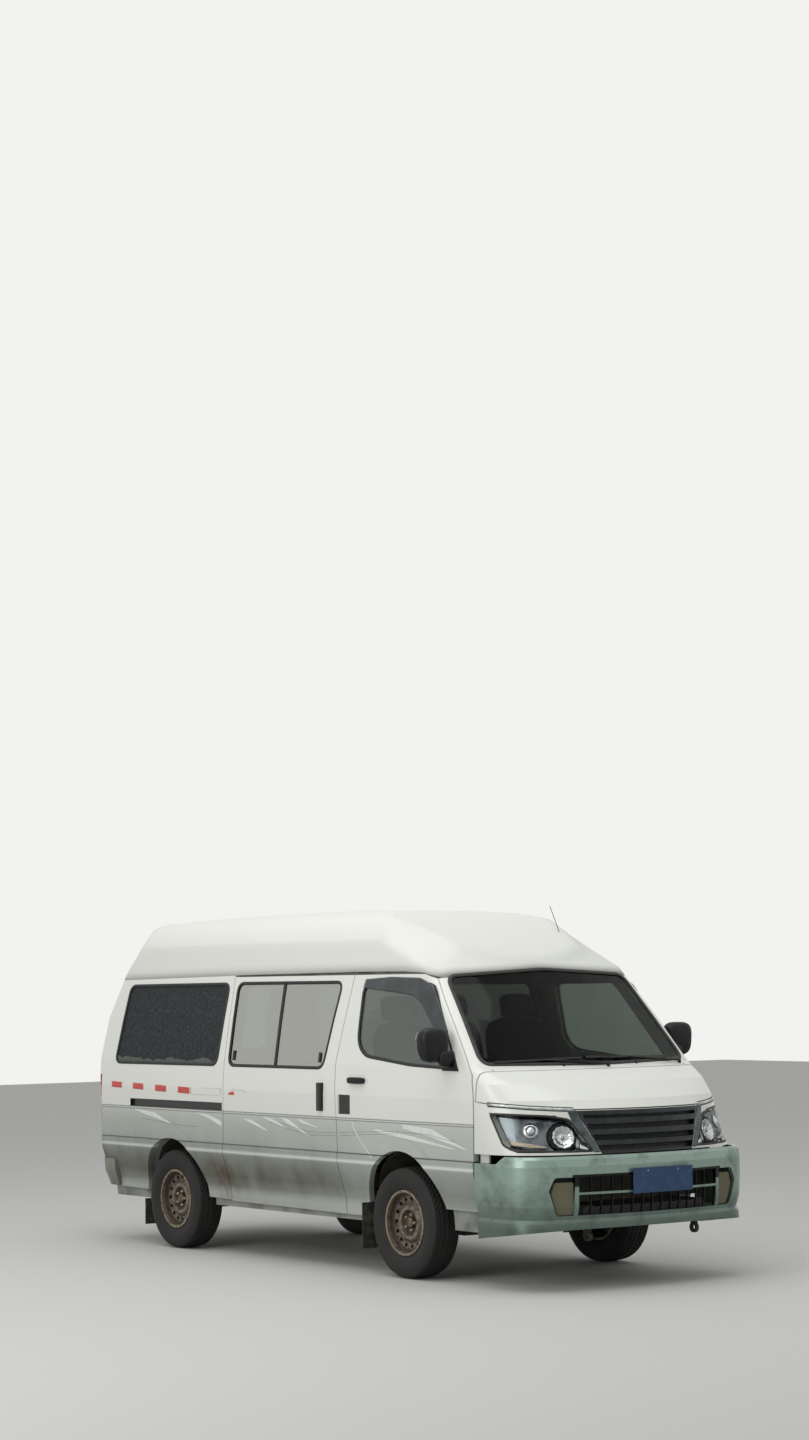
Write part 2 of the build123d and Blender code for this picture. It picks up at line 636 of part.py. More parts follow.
def knuckle():
    """Left steering knuckle."""
    wheel_y = FRONT_TRACK / 2
    pin = Pos(FRONT_AXLE_X, KINGPIN_Y, TYRE_RADIUS) * Cylinder(KINGPIN_RADIUS, 2 * ARM_Z + 30)
    upright = Pos(FRONT_AXLE_X, KINGPIN_Y, TYRE_RADIUS) * Cylinder(17, 2 * ARM_Z - 30)
    disc = rod_y(FRONT_AXLE_X, TYRE_RADIUS, 120, KINGPIN_Y + 36, KINGPIN_Y + 54)
    stub = rod_y(FRONT_AXLE_X, TYRE_RADIUS, HUB_RADIUS, KINGPIN_Y, wheel_y + 36)
    hub = rod_y(FRONT_AXLE_X, TYRE_RADIUS, 60, KINGPIN_Y + 50, wheel_y + 13.7)
    return joined([upright, pin, disc, stub, hub])


save("knuckle_left", knuckle())
save("knuckle_right", mirrored(knuckle()))


def rear_axle():
    """Live rear axle with differential, hubs and propeller shaft."""
    hub_y = REAR_TRACK / 2
    tube = rod_y(REAR_AXLE_X, TYRE_RADIUS, 38, -hub_y + 60, hub_y - 60)
    ball = Pos(REAR_AXLE_X, 0, TYRE_RADIUS) * Sphere(125)
    pieces = [tube, ball, rod((REAR_AXLE_X + 100, 0, TYRE_RADIUS), (560, 0, 430), 32)]
    for s in (-1, 1):
        pieces.append(rod_y(REAR_AXLE_X, TYRE_RADIUS, 110, s * (hub_y - 70), s * (hub_y - 20)))
        pieces.append(rod_y(REAR_AXLE_X, TYRE_RADIUS, 60, s * (hub_y - 30), s * (hub_y + 13.7)))
        pieces.append(rod_y(REAR_AXLE_X, TYRE_RADIUS, HUB_RADIUS, s * (hub_y - 40), s * (hub_y + 36)))
    return joined(pieces)


save("rear_axle", rear_axle())

RAIL_IN = 375.0
RAIL_OUT = 425.0
SPRING_IN = 485.0
SPRING_OUT = 545.0
TOW_EYE_Z = 300.0
SPARE_Z = 360.0


def underbody_frame():
    """Two chassis rails with cross members and tow eyes."""
    pieces = []
    for s in (-1, 1):
        y0, y1 = sorted((s * RAIL_IN, s * RAIL_OUT))
        pieces.append(box(-2334, 1390, y0, y1, 465, LOAD_FLOOR_Z - FLOOR_THICKNESS - SEAT_GAP))
        pieces.append(box(1300, 2360, y0, y1, 360, CAB_FLOOR_Z - FLOOR_THICKNESS - SEAT_GAP))
        pieces.append(box(1300, 1390, y0, y1, 360, 575))
        for x in (-2050, -830):
            a, b = sorted((s * RAIL_OUT, s * SPRING_OUT))
            pieces.append(box(x - 20, x + 20, a - 2, b, 440, 540))
        pieces.append(box(960, 1040, *sorted((s * 290.3, s * (RAIL_IN + 5))), 480, 520))
    for x0, x1, z0, z1 in ((-2334, -2290, 470, 560), (-900, -850, 480, 560), (-60, -10, 480, 560),
                           (520, 590, 470, 560), (2290, 2360, 380, 450)):
        pieces.append(box(x0, x1, -RAIL_IN - 5, RAIL_IN + 5, z0, z1))
    pieces.append(box(2330, 2360, -450, 450, 400, 460))
    pieces.append(box(-2045, -1995, -RAIL_IN - 5, RAIL_IN + 5, SPARE_Z + TYRE_WIDTH / 2 + SEAT_GAP, 476))
    eye = rod_y(2330, TOW_EYE_Z, 30, 385, 405)
    eye = joined([eye, box(2310, 2350, 385, 405, TOW_EYE_Z, 400)]) - rod_y(2330, TOW_EYE_Z, 16, 380, 410)
    pieces += [eye, mirrored(eye)]
    return joined(pieces)


save("underbody_frame", underbody_frame())


def leaf_springs():
    """A stack of leaves under the rear axle on each side."""
    low = TYRE_RADIUS - 38 - SEAT_GAP - 30
    arc = [ThreePointArc((-2070, 410), (REAR_AXLE_X, low), (-810, 410)), Line((-810, 410), (-810, 439.7)),
           ThreePointArc((-810, 439.7), (REAR_AXLE_X, low + 30), (-2070, 439.7)), Line((-2070, 439.7), (-2070, 410))]
    return [prism_y(arc, SPRING_IN, SPRING_OUT), prism_y(arc, -SPRING_OUT, -SPRING_IN)]


save("leaf_springs", leaf_springs())


def front_suspension():
    """Cross member with a lower and an upper arm on each side."""
    beam = box(FRONT_AXLE_X - 80, FRONT_AXLE_X + 80, -RAIL_OUT, RAIL_OUT, 230, 300)
    posts = [box(FRONT_AXLE_X - 60, FRONT_AXLE_X + 60, s * 400 - 25, s * 400 + 25, 290, 464.7) for s in (-1, 1)]
    pieces = [beam] + posts
    for s in (-1, 1):
        for z in (TYRE_RADIUS - ARM_Z, TYRE_RADIUS + ARM_Z):
            end = s * KINGPIN_Y
            arm = prism_z(poly([(FRONT_AXLE_X - 70, s * 400), (FRONT_AXLE_X + 70, s * 400),
                                (FRONT_AXLE_X + 20, end), (FRONT_AXLE_X - 20, end)]), z - 10, z + 10)
            eye = Pos(FRONT_AXLE_X, end, z) * Cylinder(20, 20)
            pieces.append(arm + eye)
    whole = joined(pieces)
    for s in (-1, 1):
        whole = whole - Pos(FRONT_AXLE_X, s * KINGPIN_Y, TYRE_RADIUS) * Cylinder(KINGPIN_RADIUS + BORE_GAP, 400)
    return whole


save("front_suspension", front_suspension())


def floor_pan():
    """Load floor, seat deck, footwell, bulkhead and the four wheel housings."""
    inside = ENVELOPE[TRIM_INSET]
    plates = [
        box(-2332, 560, -900, 900, LOAD_FLOOR_Z - FLOOR_THICKNESS, LOAD_FLOOR_Z),
        box(545, 560, -900, 900, LOAD_FLOOR_Z - FLOOR_THICKNESS, SEAT_DECK_Z),
        box(545, 1420, -900, 900, SEAT_DECK_Z - FLOOR_THICKNESS, SEAT_DECK_Z),
        box(1405, 1420, -900, 900, CAB_FLOOR_Z - FLOOR_THICKNESS, SEAT_DECK_Z),
        box(1405, 2100, -900, 900, CAB_FLOOR_Z - FLOOR_THICKNESS, CAB_FLOOR_Z),
        box(2085, 2100, -900, 900, CAB_FLOOR_Z - FLOOR_THICKNESS, 1120),
    ]
    shells = [
        arch(FRONT_ARCH, HOUSING_RADIUS + HOUSING_WALL, -900, -428), arch(FRONT_ARCH, HOUSING_RADIUS + HOUSING_WALL, 428, 900),
        arch(REAR_ARCH, HOUSING_RADIUS + HOUSING_WALL, -900, -575), arch(REAR_ARCH, HOUSING_RADIUS + HOUSING_WALL, 575, 900),
    ]
    wells = [
        arch(FRONT_ARCH, HOUSING_RADIUS, -900, -436), arch(FRONT_ARCH, HOUSING_RADIUS, 436, 900),
        arch(REAR_ARCH, HOUSING_RADIUS, -900, -585), arch(REAR_ARCH, HOUSING_RADIUS, 585, 900),
    ]
    upper = box(-2332, 2100, -900, 900, CAB_FLOOR_Z - FLOOR_THICKNESS, 1200)
    rear_low = box(-2332, 545, -900, 900, 400, LOAD_FLOOR_Z - FLOOR_THICKNESS)
    shell = joined(shells) & (upper - rear_low)
    whole = joined(plates) + shell
    for well in wells:
        whole = whole - well
    return whole & inside


save("floor_pan", floor_pan())


def side_frame():
    """Right inner side frame: sill, posts and roof rail round the door openings."""
    zone = poly([(-2330, 300), (1860, 300), (1860, 1150), (1700, 1330), (1380, 1700), (1280, 1790), (-2200, 1790),
                 (-2330, 1600)])
    solid = FRAME_SKIN & prism_y(zone, -900, -600)
    front = rounded([(560, 1700), (560, 640), (700, 500), (700, 420), (1800, 480), (1800, 1150), (1330, 1700)], 40)
    slide = rounded(SLIDE_OPENING, 40)
    rear = rounded([(-2120, 1690), (-2180, 1190), (-860, 1190), (-830, 1700)], 50)
    for outline in (front, slide, rear):
        solid = solid - prism_y(outline, -900, -600)
    solid = solid - arch(FRONT_ARCH, HOUSING_RADIUS, -900, -600) - arch(REAR_ARCH, HOUSING_RADIUS, -900, -600)
    hinge_x, hinge_y = DOOR_HINGE
    for z0, z1 in DOOR_HINGE_SPANS:
        middle = (z0 + z1) / 2
        barrel = Pos(hinge_x, hinge_y, middle) * Cylinder(5.5, z1 - z0 - 1)
        leaf = box(hinge_x - 4, hinge_x + 2, hinge_y + 3, -795, z0 + 0.5, z1 - 0.5)
        solid = solid + (barrel + leaf - Pos(hinge_x, hinge_y, middle) * Cylinder(DOOR_PIN + BORE_GAP, z1 - z0 + 2))
    return solid


frame_right = side_frame()
save("side_frame_right", frame_right)
save("side_frame_left", mirrored(frame_right))

door = front_door()
save("front_door_right", door)
save("front_door_left", mirrored(door))
pane = door_glass()
save("door_glass_right", pane)
save("door_glass_left", mirrored(pane))
save("sliding_door", sliding_door())
save("quarter_panel_right", quarter_panel())
save("side_panel_left", left_panel())
save("tailgate", tailgate())
save("tailgate_glass", tailgate_glass())
save("roof", roof())
save("bonnet", bonnet())
save("windscreen_frame", windscreen_frame())
save("nose_panel", nose_panel())
save("radiator_grille", grille())
lamp = headlamp()
fog = fog_lamp()
save("front_lamps", [lamp, mirrored(lamp), fog, mirrored(fog)])
save("front_bumper", front_bumper())


def body_glass():
    """Windscreen and the fixed side panes."""
    quarter = GLASS_SKIN & side_cut(QUARTER_WINDOW, -900, -600)
    slide = GLASS_SKIN & side_cut(SLIDE_WINDOW, -900, -600)
    screen = GLASS_SKIN & windscreen_cut()
    return [screen, quarter, slide, mirrored(quarter), mirrored(slide)]


save("body_glass", body_glass())


def door_trim():
    """Mirror on its sail plate, and the handle, of the right front door."""
    head = Pos(1613, -932, 1360) * fillet(Box(100, 170, 185).edges(), 28)
    sail = (ENVELOPE[RAISED] - ENVELOPE[-SEAT_GAP]) & prism_y(
        rounded([(1574, 1211), (1730, 1211), (1664, 1324), (1642, 1324)], 8), -900, -600)
    arm = rod((1680, -834, 1256), (1630, -905, 1300), 15)
    handle = box(632, 805, -HALF_WIDTH - 12, -822, 1120, 1158)
    return [joined([head, arm, sail]), handle]


trim = [t - ENVELOPE[-SEAT_GAP] for t in door_trim()]
save("door_trim_right", trim)
save("door_trim_left", [mirrored(t) for t in trim])

# Steering wheel on its column, left-hand drive
WHEEL_CENTRE = Vector(1560, 400, 1130)
COLUMN_AXIS = Vector(-0.60, 0, 0.80)
COLUMN_PIN = 12.0


def steering_wheel():
    """Rim, two spokes and boss."""
    plane = Plane(origin=WHEEL_CENTRE, z_dir=COLUMN_AXIS, x_dir=(0.8, 0, 0.6))
    section = Plane.XZ * Pos(190, 0) * RegularPolygon(14, 8)
    ring = plane * revolve(section, axis=Axis.Z)
    boss = plane * (Pos(0, 0, -20) * Cylinder(60, 50) - Pos(0, 0, -32) * Cylinder(COLUMN_PIN + BORE_GAP, 37))
    bar = plane * Box(30, 380, 12)
    rail = plane * Pos(-90, 0, 0) * Box(180, 30, 12)
    return joined([ring, boss, bar, rail])


save("steering_wheel", steering_wheel())


def dashboard():
    """Dashboard across the cab with the steering column."""
    outline = [(2084.7, 1110), (1985, 1175), (1880, 1190), (1760, 1150), (1740, 1010), (1800, 860), (2084.7, 860)]
    top = prism_y(rounded(outline, 25), -735, 735) & ENVELOPE[TRIM_INSET]
    a = WHEEL_CENTRE - COLUMN_AXIS * 52
    b = WHEEL_CENTRE - COLUMN_AXIS * 830
    column = rod((a.X, a.Y, a.Z), (b.X, b.Y, b.Z), 30) - box(1400, 2400, 0, 800, 0, CAB_FLOOR_Z + SEAT_GAP)
    tip = WHEEL_CENTRE - COLUMN_AXIS * 15
    return joined([top, column, rod((a.X, a.Y, a.Z), (tip.X, tip.Y, tip.Z), COLUMN_PIN)])


save("dashboard", dashboard())


def seat(y0, y1, heads):
    """Cushion, back and headrests of one seat."""
    cushion = fillet(box(720, 1230, y0, y1, SEAT_DECK_Z + SEAT_GAP, 930).edges().filter_by(Axis.Y), 30)
    outline = [(700, 900), (830, 930), (700, 1500), (610, 1500)]
    back = prism_y(rounded(outline, 25), y0, y1)
    rests = [prism_y(rounded([(640, 1490), (710, 1490), (690, 1640), (610, 1640)], 20), h - 110, h + 110) for h in heads]
    return joined([cushion, back] + rests)


save("front_seats", [seat(180, 680, [430]), seat(-680, 130, [-480, -80])])
save("engine_block", box(640, 1380, -290, 290, 330, 740))


def rear_bumper():
    """Rear bumper wrapped round the corners."""
    slices = []
    for z, half, rear_x in ((372, 795, -2440), (470, 826, BUMPER_REAR_X), (552, 834, BUMPER_REAR_X)):
        outline = bowed_outline(half, 2440, 2600, 200, rear_x, 155, 7000)
        slices.append(Pos(0, 0, z) * make_face(Wire(outline)))
    solid = Solid.make_loft([s.wire() for s in slices], ruled=True)
    shell = solid - ENVELOPE[-SEAT_GAP]
    return shell & box(-2600, -2180, -900, 900, 372, 552)


save("rear_bumper", rear_bumper())


tail_lamp = ENVELOPE[0] & lamp_zone(SEAT_GAP)
save("tail_lamps", [tail_lamp, mirrored(tail_lamp)])
save("fuel_tank", fillet(box(-620, 120, 440, 660, 360, 577.7).edges().filter_by(Axis.X), 30))
exhaust = [rod_x(-300, 385, 26, -1100, 500), rod_x(-300, 385, 85, -900, -350),
           rod((-1100, -300, 385), (-1250, -400, 430), 26), rod((-1250, -400, 430), (-2300, -400, 430), 26)]
save("exhaust", joined(exhaust))
save("spare_wheel", [Pos(-2020, 0, SPARE_Z) * Rot(90, 0, 0) * part for part in (TYRE, RIM)])
front_flap = box(766, 771, -840, -690, 150, 420) + box(755, 766, -730, -690, 385, 415)
rear_flap = box(-1847, -1842, -790, -640, 130, 299.7)
save("mud_flaps", [front_flap, mirrored(front_flap), rear_flap, mirrored(rear_flap)])
plate = [box(PLATE_FRONT_X - 4, PLATE_FRONT_X, 51 - 220, 51 + 220, 527, 667),
         box(2449.4, PLATE_FRONT_X - 2, -80, -60, 640, 660), box(2445.4, PLATE_FRONT_X - 2, 160, 180, 640, 660)]
save("number_plate", joined(plate))


# Wipers: pivot (x, y), blade ends (y, z) and jets (x, y) at the foot of the windscreen
WIPERS = [((1993, 58), (-684, 1261), (-100, 1275)), ((1898, 688), (-70, 1279), (590, 1266))]
JETS = [(1963, -249), (1956, 302)]


def wipers():
    """Two parked wipers, with blades that follow the glass, and two washer jets."""
    glass = ENVELOPE[GLASS_INSET - SEAT_GAP]
    foot = ENVELOPE[-SEAT_GAP] & box(1700, 2100, -760, 760, 1000, 1254)
    strip = ENVELOPE[RAISED] - glass
    pieces = [Pos(x, y, 1232) * Cylinder(7, 24) for x, y in JETS]
    for (x, y), (y0, z0), (y1, z1) in WIPERS:
        blade = strip & prism_x(poly([(y0, z0 - 5), (y1, z1 - 5), (y1, z1 + 5), (y0, z0 + 5)]), 1700, 2100)
        middle = (y0 + y1) / 2
        knee = (1951 - middle ** 2 / 5430, middle, (z0 + z1) / 2)
        pivot = Pos(x, y, 1222) * Cylinder(10, 44)
        pieces.append(joined([pivot, rod((x + 2, y, 1239), knee, 5), blade]))
    return [piece - glass - foot for piece in pieces]


save("wipers", wipers())
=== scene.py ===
import math

import bmesh
import bpy
import numpy as np
from mathutils import Matrix, Vector


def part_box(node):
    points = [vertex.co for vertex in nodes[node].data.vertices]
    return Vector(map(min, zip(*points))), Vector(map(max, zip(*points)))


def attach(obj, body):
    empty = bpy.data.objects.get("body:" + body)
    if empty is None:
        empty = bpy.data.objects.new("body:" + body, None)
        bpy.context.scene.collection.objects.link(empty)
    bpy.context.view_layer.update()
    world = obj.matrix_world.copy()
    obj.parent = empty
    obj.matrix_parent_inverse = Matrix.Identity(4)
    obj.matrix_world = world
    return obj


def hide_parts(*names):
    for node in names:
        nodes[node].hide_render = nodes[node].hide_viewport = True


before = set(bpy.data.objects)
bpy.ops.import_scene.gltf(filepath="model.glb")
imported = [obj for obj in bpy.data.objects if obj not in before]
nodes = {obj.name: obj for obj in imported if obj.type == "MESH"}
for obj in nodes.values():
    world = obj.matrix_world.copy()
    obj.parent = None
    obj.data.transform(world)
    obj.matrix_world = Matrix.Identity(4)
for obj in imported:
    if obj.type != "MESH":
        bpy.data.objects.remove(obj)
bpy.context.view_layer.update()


# Chassis rails, cross members and suspension arms: pressed mild steel, dipped in black chassis
# paint. Years of road grit leave it dull brown-black with a sandy skin on the ledges.
def linear(code):
    """Turn an sRGB hex colour to linear light: c/12.92 below 0.04045, else ((c+0.055)/1.055)^2.4."""
    channels = [int(code[i:i + 2], 16) / 255 for i in (0, 2, 4)]
    return tuple(c / 12.92 if c <= 0.04045 else ((c + 0.055) / 1.055) ** 2.4 for c in channels) + (1.0,)


def add_node(tree, kind, settings=None, links=None, take=0):
    """Add a shader node. Settings go to its properties or sockets, links name what feeds a socket.
    Gives back the output that take names, or the node itself when take is None. By number, a Map
    Range carries 1 to 2 over to 3 to 4, and a colour Mix goes from 6 to 7 by the share 0."""
    node = tree.nodes.new(kind)
    for key, value in (settings or {}).items():
        if isinstance(key, str) and hasattr(node, key):
            setattr(node, key, value)
        else:
            node.inputs[key].default_value = value
    for key, source in (links or {}).items():
        tree.links.new(source, node.inputs[key])
    return node if take is None else node.outputs[take]


def new_finish(name):
    """Empty material with its node tree, its shader, and the Object coordinates its patterns read."""
    material = bpy.data.materials.new(name)
    material.use_nodes = True
    tree = material.node_tree
    return material, tree, tree.nodes["Principled BSDF"], add_node(tree, "ShaderNodeTexCoord", take="Object")


def feed(tree, shader, sockets):
    """Give each named socket of the shader its value, or link it to the output of another node."""
    for name, source in sockets.items():
        if isinstance(source, bpy.types.NodeSocket):
            tree.links.new(source, shader.inputs[name])
        else:
            shader.inputs[name].default_value = source


def finish(name, colour, stain, patch_mm, grain_mm, rough, grain_depth, metallic=0.0, **sockets):
    """Worn surface: two colours blended by noise of the patch size, roughness between the two values
    of rough by the same noise, and a bump of the grain's size and depth, all sizes in millimetres.
    The remaining settings go straight to the shader's sockets."""
    material, tree, shader, place = new_finish(name)
    patches = add_node(tree, "ShaderNodeTexNoise", {"Scale": 1000 / patch_mm, "Detail": 6.0, "Roughness": 0.6},
                       {"Vector": place}, "Fac")
    spread = add_node(tree, "ShaderNodeMapRange", {1: 0.47, 2: 0.63}, {0: patches})
    tone = add_node(tree, "ShaderNodeMix", {"data_type": "RGBA", 6: linear(colour), 7: linear(stain)},
                    {0: spread}, 2)
    gloss = add_node(tree, "ShaderNodeMapRange", {3: rough[0], 4: rough[1]}, {0: spread})
    grain = add_node(tree, "ShaderNodeTexNoise", {"Scale": 1000 / grain_mm, "Detail": 3.0}, {"Vector": place}, "Fac")
    bump = add_node(tree, "ShaderNodeBump", {"Distance": grain_depth / 1000, "Strength": 1.0}, {"Height": grain})
    feed(tree, shader, {"Base Color": tone, "Roughness": gloss, "Normal": bump, "Metallic": metallic})
    feed(tree, shader, {socket.replace("_", " "): value for socket, value in sockets.items()})
    return material


def coat_nodes(material, *names):
    """Give CAD nodes their finish."""
    for name in names:
        nodes[name].data.materials.clear()
        nodes[name].data.materials.append(material)


chassis_paint = finish("black_chassis_paint", "1C1B1A", "3A342C", 90, 4, (0.55, 0.85), 0.25)
coat_nodes(chassis_paint, "underbody_frame", "front_suspension", "fuel_tank")

# Axle, springs, knuckles, engine and exhaust: cast iron and spring steel without paint, rusted
# to a dull brown, matt all over and rough from the casting and the scale.
rusty_iron = finish("rusted_cast_iron", "3B3129", "5A4130", 60, 3, (0.7, 0.92), 0.4, 0.35)
coat_nodes(rusty_iron, "rear_axle", "leaf_springs", "knuckle_left", "knuckle_right", "engine_block", "exhaust")

# Floor of cab and load space: pressed steel under a worn rubber mat, laid loose and cut to the
# wheel housings. It is matt and near black, greyed by trodden-in dust.
floor_mat = finish("worn_rubber_mat", "2A2927", "4A463E", 120, 3, (0.7, 0.9), 0.2)
coat_nodes(floor_mat, "floor_pan")


# Body shell: pressed steel panels in off-white enamel, grey-green below a twin grey line, with a
# pressed crease and a small step above it. The crease and the sill carry a painted highlight, the
# step a thin black line of painted shade, and the band under the crease is darker, partly from
# road dirt and partly painted shade. Road dirt settles low down, thickest ahead of the rear wheels,
# and water runs it into streaks that leave the gloss dull.
def graded(tree, value, low, high, stops):
    """Colour from a list of (value, colour) stops between low and high, linear between neighbours."""
    scaled = add_node(tree, "ShaderNodeMapRange", {1: low, 2: high}, {0: value})
    ramp = add_node(tree, "ShaderNodeValToRGB", {}, {0: scaled}, None)
    elements = ramp.color_ramp.elements
    for index, (at, colour) in enumerate(stops):
        place = (at - low) / (high - low)
        element = elements[index] if index < 2 else elements.new(place)
        element.position = place
        element.color = linear(colour) if isinstance(colour, str) else (colour, colour, colour, 1.0)
    return ramp.outputs[0]


# Heights of the painted bands and of the dirt, in metres above the ground. In the paint's stops the
# bright ones from 0.653 to 0.663 are a painted highlight on the crease, the black ones from 0.702 to
# 0.7075 painted shade in the step, and the darker one at 0.50 partly painted shade under the crease.
# The plain stops only grow darker towards the bottom.
SILL, WAIST = 0.28, 1.10
ENAMEL_HIGHLIGHT_AND_SHADE_STOPS = [(SILL, "8D938C"), (0.345, "B4B9B2"), (0.41, "A9AFA8"), (0.50, "98A09A"), (0.60, "A2AAA4"),
                (0.648, "A8AFA9"), (0.653, "D6D9D3"), (0.663, "CDD1CB"), (0.672, "A6ADA7"), (0.699, "AAB0AA"),
                (0.702, "1E1F1D"), (0.7075, "1E1F1D"), (0.710, "B4B9B3"), (0.80, "B2B7B0"), (0.897, "B7BBB4"),
                (0.899, "6A6D69"), (0.9025, "6A6D69"), (0.9045, "C6C9C3"), (0.9095, "C6C9C3"),
                (0.9115, "707370"), (0.915, "707370"), (0.917, "D6D7D0"), (WAIST, "D6D7D0")]
# In the dirt's stops, the low shares at the sill (0.335 to 0.39) and at 0.655 are painted highlights on the sill and
# the crease, and the high ones from 0.44 to 0.57 are partly dirt and partly painted shade under the crease.
DIRT_SHADE_AND_HIGHLIGHT_STOPS = [(SILL, 0.80), (0.335, 0.38), (0.39, 0.30), (0.44, 0.66), (0.50, 0.86), (0.57, 0.78), (0.64, 0.58),
              (0.655, 0.22), (0.68, 0.46), (0.76, 0.32), (0.84, 0.22), (0.92, 0.06), (WAIST, 0.0)]
PLAIN_STOPS = [(SILL, "C9CBC4"), (WAIST, "D6D7D0")]
PLAIN_LOW_DARKENING = [(SILL, 0.30), (0.75, 0.12), (WAIST, 0.0)]

# Share of the dirt along the van, from the tail forwards, and the middle of the rust ahead of the
# right rear wheel.
TAIL, NOSE = -2.45, 1.9
ALONG_STOPS = [(TAIL, 1.05), (-1.9, 1.05), (-1.0, 1.12), (-0.3, 1.05), (0.40, 0.92), (0.60, 0.70), (0.80, 0.48),
               (NOSE, 0.60)]
RUST_MIDDLE = (-0.84, -0.80, 0.47)

# Black plastic liners in the right side: rail slot, sliding door's handle cup and door vent. Each has
# the middle and half size of its box.
LINERS = [((-1.3775, -10.0, 0.940), (0.5805, 10.0, 0.0255)), ((0.322, -10.0, 1.032), (0.038, 10.0, 0.086)),
          ((0.5865, -10.0, 0.9935), (0.0600, 10.0, 0.0580))]


def enamel(name, banded, gloss=0.30, coat=0.25, soft_edge=0.0):
    """Body paint by the height above the ground. The share of dirt is the height's stops times those
    along the van times a mottle, which is streaks plus patches; within 200 mm of the rust's middle
    the mottle's peaks are rust. In banded paint the height's stops also hold painted highlights on the
    crease and the sill and painted shade in the step and under the crease; plain paint only grows
    darker towards the bottom. Banded paint blacks out the liners, where the greatest of
    |p - middle| / half size over the three axes is below 1. The soft edge is the radius that a
    crease is shaded with."""
    material, tree, shader, place = new_finish(name)
    along, _, height = add_node(tree, "ShaderNodeSeparateXYZ", {}, {0: place}, None).outputs
    base = graded(tree, height, SILL, WAIST, ENAMEL_HIGHLIGHT_AND_SHADE_STOPS if banded else PLAIN_STOPS)
    stretch = add_node(tree, "ShaderNodeMapping", {"Scale": (6.0, 6.0, 3.0)}, {"Vector": place})
    streaks = add_node(tree, "ShaderNodeTexNoise", {"Scale": 1.0, "Detail": 4.0}, {"Vector": stretch}, "Fac")
    patches = add_node(tree, "ShaderNodeTexNoise", {"Scale": 3.2, "Detail": 7.0, "Roughness": 0.62},
                       {"Vector": place}, "Fac")
    mottle = add_node(tree, "ShaderNodeMath", {"operation": "ADD"}, {0: streaks, 1: patches})
    uneven = add_node(tree, "ShaderNodeMapRange", {1: 0.72, 2: 1.22, 3: 0.80, 4: 1.10}, {0: mottle})
    # The dirt's stops by height also carry the painted highlights and painted shade of the banded paint.
    low_dirt_shade_and_highlight = graded(tree, height, SILL, WAIST, DIRT_SHADE_AND_HIGHLIGHT_STOPS if banded else PLAIN_LOW_DARKENING)
    far_dirt = graded(tree, along, TAIL, NOSE, ALONG_STOPS)
    share = add_node(tree, "ShaderNodeMath", {"operation": "MULTIPLY"}, {0: low_dirt_shade_and_highlight, 1: far_dirt})
    dirt_and_painted_light = add_node(tree, "ShaderNodeMath", {"operation": "MULTIPLY", "use_clamp": True}, {0: share, 1: uneven})
    dirt_and_light_colour = add_node(tree, "ShaderNodeMix", {"data_type": "RGBA", 7: linear("4B4A3D")}, {0: dirt_and_painted_light, 6: base}, 2)
    spot = add_node(tree, "ShaderNodeVectorMath", {"operation": "DISTANCE", 1: RUST_MIDDLE}, {0: place}, "Value")
    near = add_node(tree, "ShaderNodeMapRange", {1: 0.04, 2: 0.20, 3: 0.95, 4: 0.0}, {0: spot})
    eaten = add_node(tree, "ShaderNodeMapRange", {1: 0.86, 2: 1.12}, {0: mottle})
    rust = add_node(tree, "ShaderNodeMath", {"operation": "MULTIPLY"}, {0: near, 1: eaten})
    colour = add_node(tree, "ShaderNodeMix", {"data_type": "RGBA", 7: linear("4A3524")}, {0: rust, 6: dirt_and_light_colour}, 2)
    for middle, half_size in (LINERS if banded else []):
        offset = add_node(tree, "ShaderNodeVectorMath", {"operation": "SUBTRACT", 1: middle}, {0: place})
        parts = add_node(tree, "ShaderNodeVectorMath", {"operation": "DIVIDE", 1: half_size}, {0: offset})
        sizes = add_node(tree, "ShaderNodeVectorMath", {"operation": "ABSOLUTE"}, {0: parts})
        x, y, z = add_node(tree, "ShaderNodeSeparateXYZ", {}, {0: sizes}, None).outputs
        wide = add_node(tree, "ShaderNodeMath", {"operation": "MAXIMUM"}, {0: x, 1: y})
        most = add_node(tree, "ShaderNodeMath", {"operation": "MAXIMUM"}, {0: wide, 1: z})
        within = add_node(tree, "ShaderNodeMath", {"operation": "LESS_THAN", 1: 1.0}, {0: most})
        colour = add_node(tree, "ShaderNodeMix", {"data_type": "RGBA", 7: linear("141515")},
                          {0: within, 6: colour}, 2)
    rough = add_node(tree, "ShaderNodeMapRange", {3: gloss, 4: 0.85}, {0: dirt_and_painted_light})
    ripple = add_node(tree, "ShaderNodeTexNoise", {"Scale": 9.0, "Detail": 2.0}, {"Vector": place}, "Fac")
    relief = {"Height": ripple}
    if soft_edge:
        relief["Normal"] = add_node(tree, "ShaderNodeBevel", {"Radius": soft_edge, "samples": 6})
    bump = add_node(tree, "ShaderNodeBump", {"Distance": 0.0012, "Strength": 0.6}, relief)
    feed(tree, shader, {"Base Color": colour, "Roughness": rough, "Normal": bump, "Coat Weight": coat,
                        "Coat Roughness": 0.12})
    return material


banded_enamel = enamel("banded_alkyd_enamel", True)
coat_nodes(banded_enamel, "side_panel_left", "quarter_panel_right", "sliding_door", "front_door_left",
           "front_door_right", "tailgate")
white_enamel = enamel("white_alkyd_enamel", False)
coat_nodes(white_enamel, "bonnet", "nose_panel", "windscreen_frame")

# High roof with its gutter: one glass-fibre moulding, bonded to the shell, in a white gelcoat that
# has weathered matt. Its corners are round, so its creases are shaded with a wide radius.
roof_gelcoat = enamel("white_roof_gelcoat", False, 0.65, 0.0, 0.09)
coat_nodes(roof_gelcoat, "roof")

